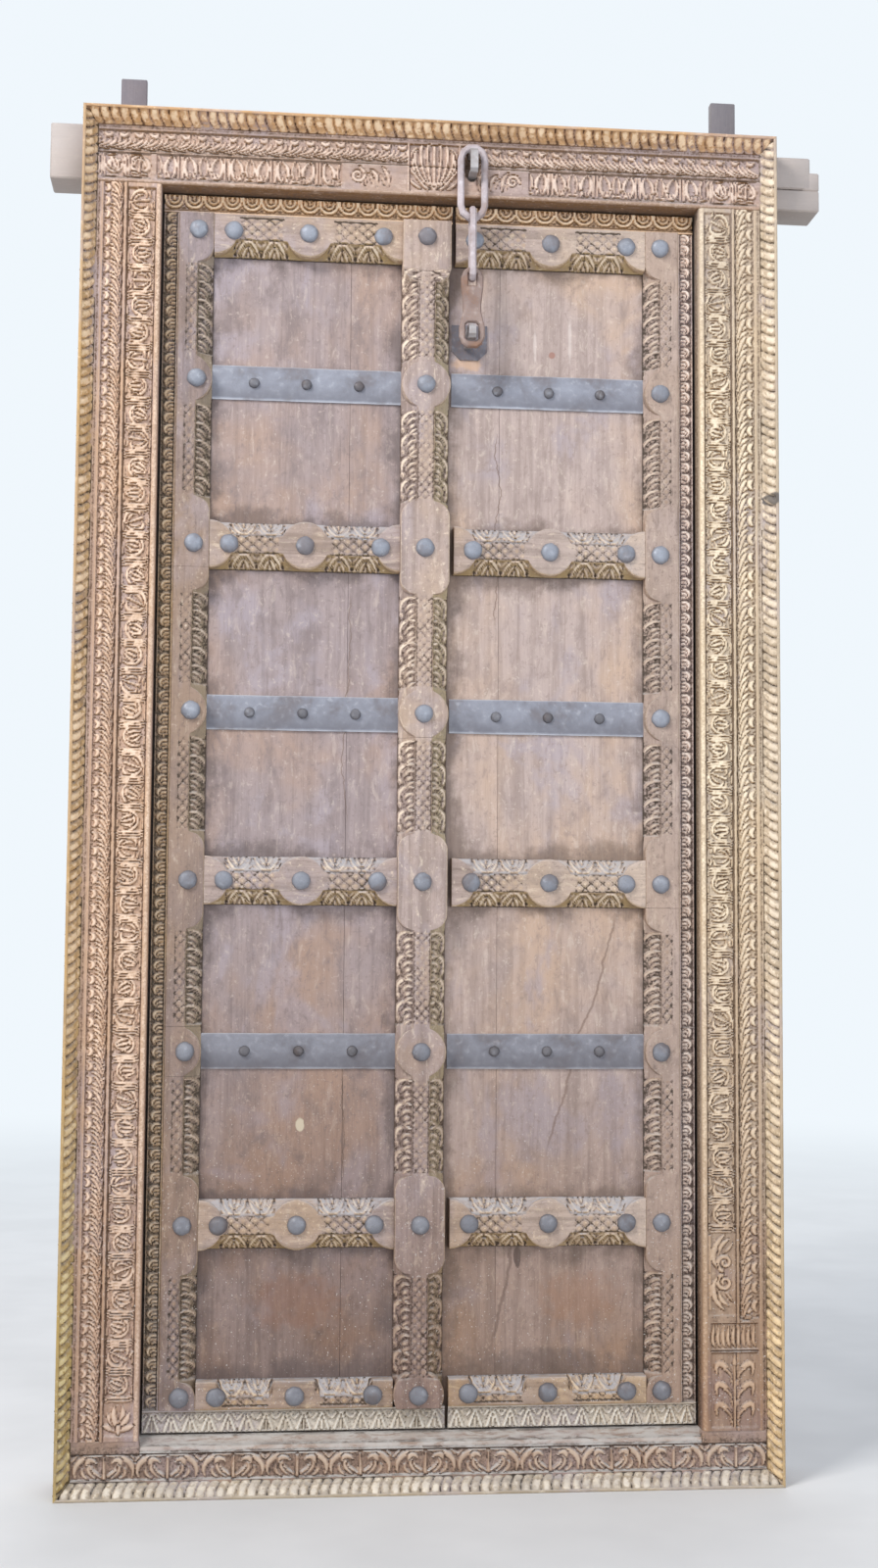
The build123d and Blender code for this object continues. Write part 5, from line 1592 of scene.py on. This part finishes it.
jamb("left_timber", -1, 21)
jamb("right_timber", 1, 31)
head_beam()
sill()
rope("moulding_left", FRAME_HEIGHT, rope_side(-1), 61)
rope("moulding_right", FRAME_HEIGHT, rope_side(1), 62, turned=True)
rope("moulding_top", 2 * FRAME_SIDE, rope_level(1), 63, slant=0.5)
rope("moulding_bottom", 2 * FRAME_SIDE, rope_level(-1), 64, turned=True, slant=0.5)


# The leaves


def letters(node):
    """A number for each node, from which its seed follows."""
    return sum(map(ord, node))


def borders_first(node):
    return "border" not in node, node


def box_mm(node):
    """The low and high corner of a node in millimetres."""
    return (np.array(corner) * 1000 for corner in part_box(node))


for node in sorted(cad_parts, key=borders_first):
    low, high = box_mm(node)
    hand = "left" if node.startswith("left") else "right"
    leaf = hand + "_leaf"
    seed = 100 + letters(node) % 97
    if "border" in node:
        upright = "side" in node
        if upright:
            style, wood = scroll_style(hand == "right"), BORDER_WOOD[hand]
        elif "top" in node:
            style, wood = scallop_style, BORDER_WOOD["top"]
        else:
            style, wood = zigzag_style, BORDER_WOOD["bottom"]
        border(node, leaf, low, high, upright, 70 + len(node) + int(low[2]) % 40, style, wood)
    elif "_stile_" in node:
        stile(node, -1 if hand == "left" else 1, low[2], high[2], leaf, seed)
    elif node.startswith("centre_bar"):
        centre_bar(node, low[2], high[2], seed)
    elif "_rail_" in node:
        number = int(node[-1])
        bevels = (number != 1, number != 5)
        level = {1: FOOT_LEVEL, 5: TOP_LEVEL}.get(number, (low[2] + high[2]) / 2)
        rail(node, leaf, low[0], high[0], low[2], high[2], bevels, level, seed)

# Studs stand on the stile, at both ends and the middle of each rail, and on the centre bar
for name, side, inner in (("left", -1, BAR_LEFT - 0.4), ("right", 1, RIGHT_TRIM)):
    on_stile = side * (STILE_INNER + 24)
    outer = side * (STILE_INNER - 0.4)
    spots = (on_stile, outer - side * 30, (outer + inner) / 2, inner + side * 30)
    studs = [(x, level, TRIM_FRONT) for level in RAIL_LEVELS for x in spots]
    studs += [(on_stile, level, TRIM_FRONT) for level in STRAPS]
    if side < 0:
        studs += [(-8.0, level, BAR_FRONT) for level in RAIL_LEVELS + STRAPS]
    dome_group(f"{name}_stud_heads", f"{name}_studs", f"{name}_leaf", studs, 15.0, 9.0, 5, STUD_IRON)
    middle = side * (STILE_INNER + abs(inner)) / 2
    nails = [(middle + n * NAIL_PITCH, level, STRAP_FRONT) for level in STRAPS for n in (-1, 0, 1)]
    dome_group(f"{name}_nail_heads", f"{name}_strap_nails", f"{name}_leaf", nails, 8.5, 6.0, 6, NAIL_IRON)

for node in [f"{hand}_strap_{number}" for hand in ("left", "right") for number in (1, 2, 3)]:
    strap(node, node.split("_")[0] + "_leaf", *box_mm(node), 200 + letters(node) % 53)

# The planks, the plate and the chain keep their shapes and get their looks
KEPT = {
    **{f"{hand}_{part}_plank": wood for hand, wood in PLANK_WOOD.items() for part in ("hinge", "meeting")},
    "staple_plate": PLATE_IRON,
    "head_staple": STAPLE_IRON,
    "leaf_staple": STAPLE_IRON,
    "chain_hasp": HASP_IRON,
    "chain_link": CHAIN_IRON,
    "chain_ring": CHAIN_IRON,
}
for node, material in KEPT.items():
    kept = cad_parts[node]
    kept.data.materials.clear()
    kept.data.materials.append(material)


# Floor, backdrop, light and camera


BACKDROP = (0.87, 0.93, 0.98, 1.0)


def stage_floor():
    """A wide floor that fades into the backdrop away from the door."""
    mesh = bpy.data.meshes.new("floor")
    mesh.from_pydata([(-40, -40, 0), (40, -40, 0), (40, 40, 0), (-40, 40, 0)], [], [(0, 1, 2, 3)])
    floor = bpy.data.objects.new("floor", mesh)
    bpy.context.collection.objects.link(floor)
    n = Nodes("floor_paint")
    speckle = n.noise(3.0, 3.0)
    x, y = n.position("X"), n.position("Y")
    away = n.math("POWER", n.math("ADD", n.times(x, x), n.times(y, y)), 0.5)
    rays = n.add("ShaderNodeLightPath")
    seen = n.math("MAXIMUM", rays.outputs["Is Camera Ray"], rays.outputs["Is Glossy Ray"])
    far = n.times(n.remap(away, 0.9, 6.5), seen)
    paint = n.mix(n.remap(speckle, 0.3, 0.7), (0.70, 0.70, 0.70), (0.76, 0.76, 0.76))
    n.finish(n.mix(far, paint, (0.0, 0.0, 0.0)), 1.0)
    n.shader.inputs["Specular IOR Level"].default_value = 0.0
    n.shader.inputs["Emission Color"].default_value = BACKDROP
    n.link(far, n.shader.inputs["Emission Strength"])
    mesh.materials.append(n.material)


def area_light(name, place, target, size, power, colour):
    light = bpy.data.lights.new(name, "AREA")
    light.shape = "RECTANGLE"
    light.size, light.size_y = size
    light.energy = power
    light.color = colour
    lamp = bpy.data.objects.new(name, light)
    bpy.context.collection.objects.link(lamp)
    lamp.location = place
    lamp.rotation_euler = (Vector(place) - Vector(target)).to_track_quat("Z", "Y").to_euler()


stage_floor()
area_light("key", (-2.6, -2.8, 4.2), (0, 0, 1.1), (1.5, 1.5), 160.0, (1.0, 0.98, 0.95))
area_light("fill", (2.13, -6.13, 1.55), (0, 0, 1.3), (4.0, 2.6), 121.0, (0.93, 0.96, 1.0))
area_light("rim", (0.5, 3.5, 3.5), (0, 0, 1.1), (3.0, 2.0), 60.0, (1.0, 1.0, 1.0))

# The world lights the door, and the camera sees the backdrop's colour instead
world = bpy.data.worlds.new("studio")
bpy.context.scene.world = world
world.use_nodes = True
tree = world.node_tree
background = tree.nodes["Background"]
background.inputs["Color"].default_value = (0.80, 0.86, 0.95, 1.0)
background.inputs["Strength"].default_value = 0.66
backdrop = tree.nodes.new("ShaderNodeBackground")
backdrop.inputs["Color"].default_value = BACKDROP
backdrop.inputs["Strength"].default_value = 1.0
rays = tree.nodes.new("ShaderNodeLightPath")
seen = tree.nodes.new("ShaderNodeMath")
seen.operation = "MAXIMUM"
shown = tree.nodes.new("ShaderNodeMixShader")
for source, target in (
    (rays.outputs["Is Camera Ray"], seen.inputs[0]),
    (rays.outputs["Is Glossy Ray"], seen.inputs[1]),
    (seen.outputs[0], shown.inputs[0]),
    (background.outputs[0], shown.inputs[1]),
    (backdrop.outputs[0], shown.inputs[2]),
    (shown.outputs[0], tree.nodes["World Output"].inputs[0]),
):
    tree.links.new(source, target)

camera_data = bpy.data.cameras.new("camera")
camera_data.sensor_fit = "VERTICAL"
camera_data.sensor_height = 36.0
camera_data.lens = 45.0
camera = bpy.data.objects.new("camera", camera_data)
bpy.context.collection.objects.link(camera)
# Each row holds the camera's right, up and back direction and its place, for x, y and z
camera.matrix_world = Matrix((
    (0.994936, -0.015027, -0.099383, -0.28337),
    (-0.100258, -0.077997, -0.991900, -3.01934),
    (0.007153, 0.996840, -0.079109, 0.81609),
    (0, 0, 0, 1),
))
bpy.context.scene.camera = camera
bpy.context.scene.view_settings.view_transform = "Standard"
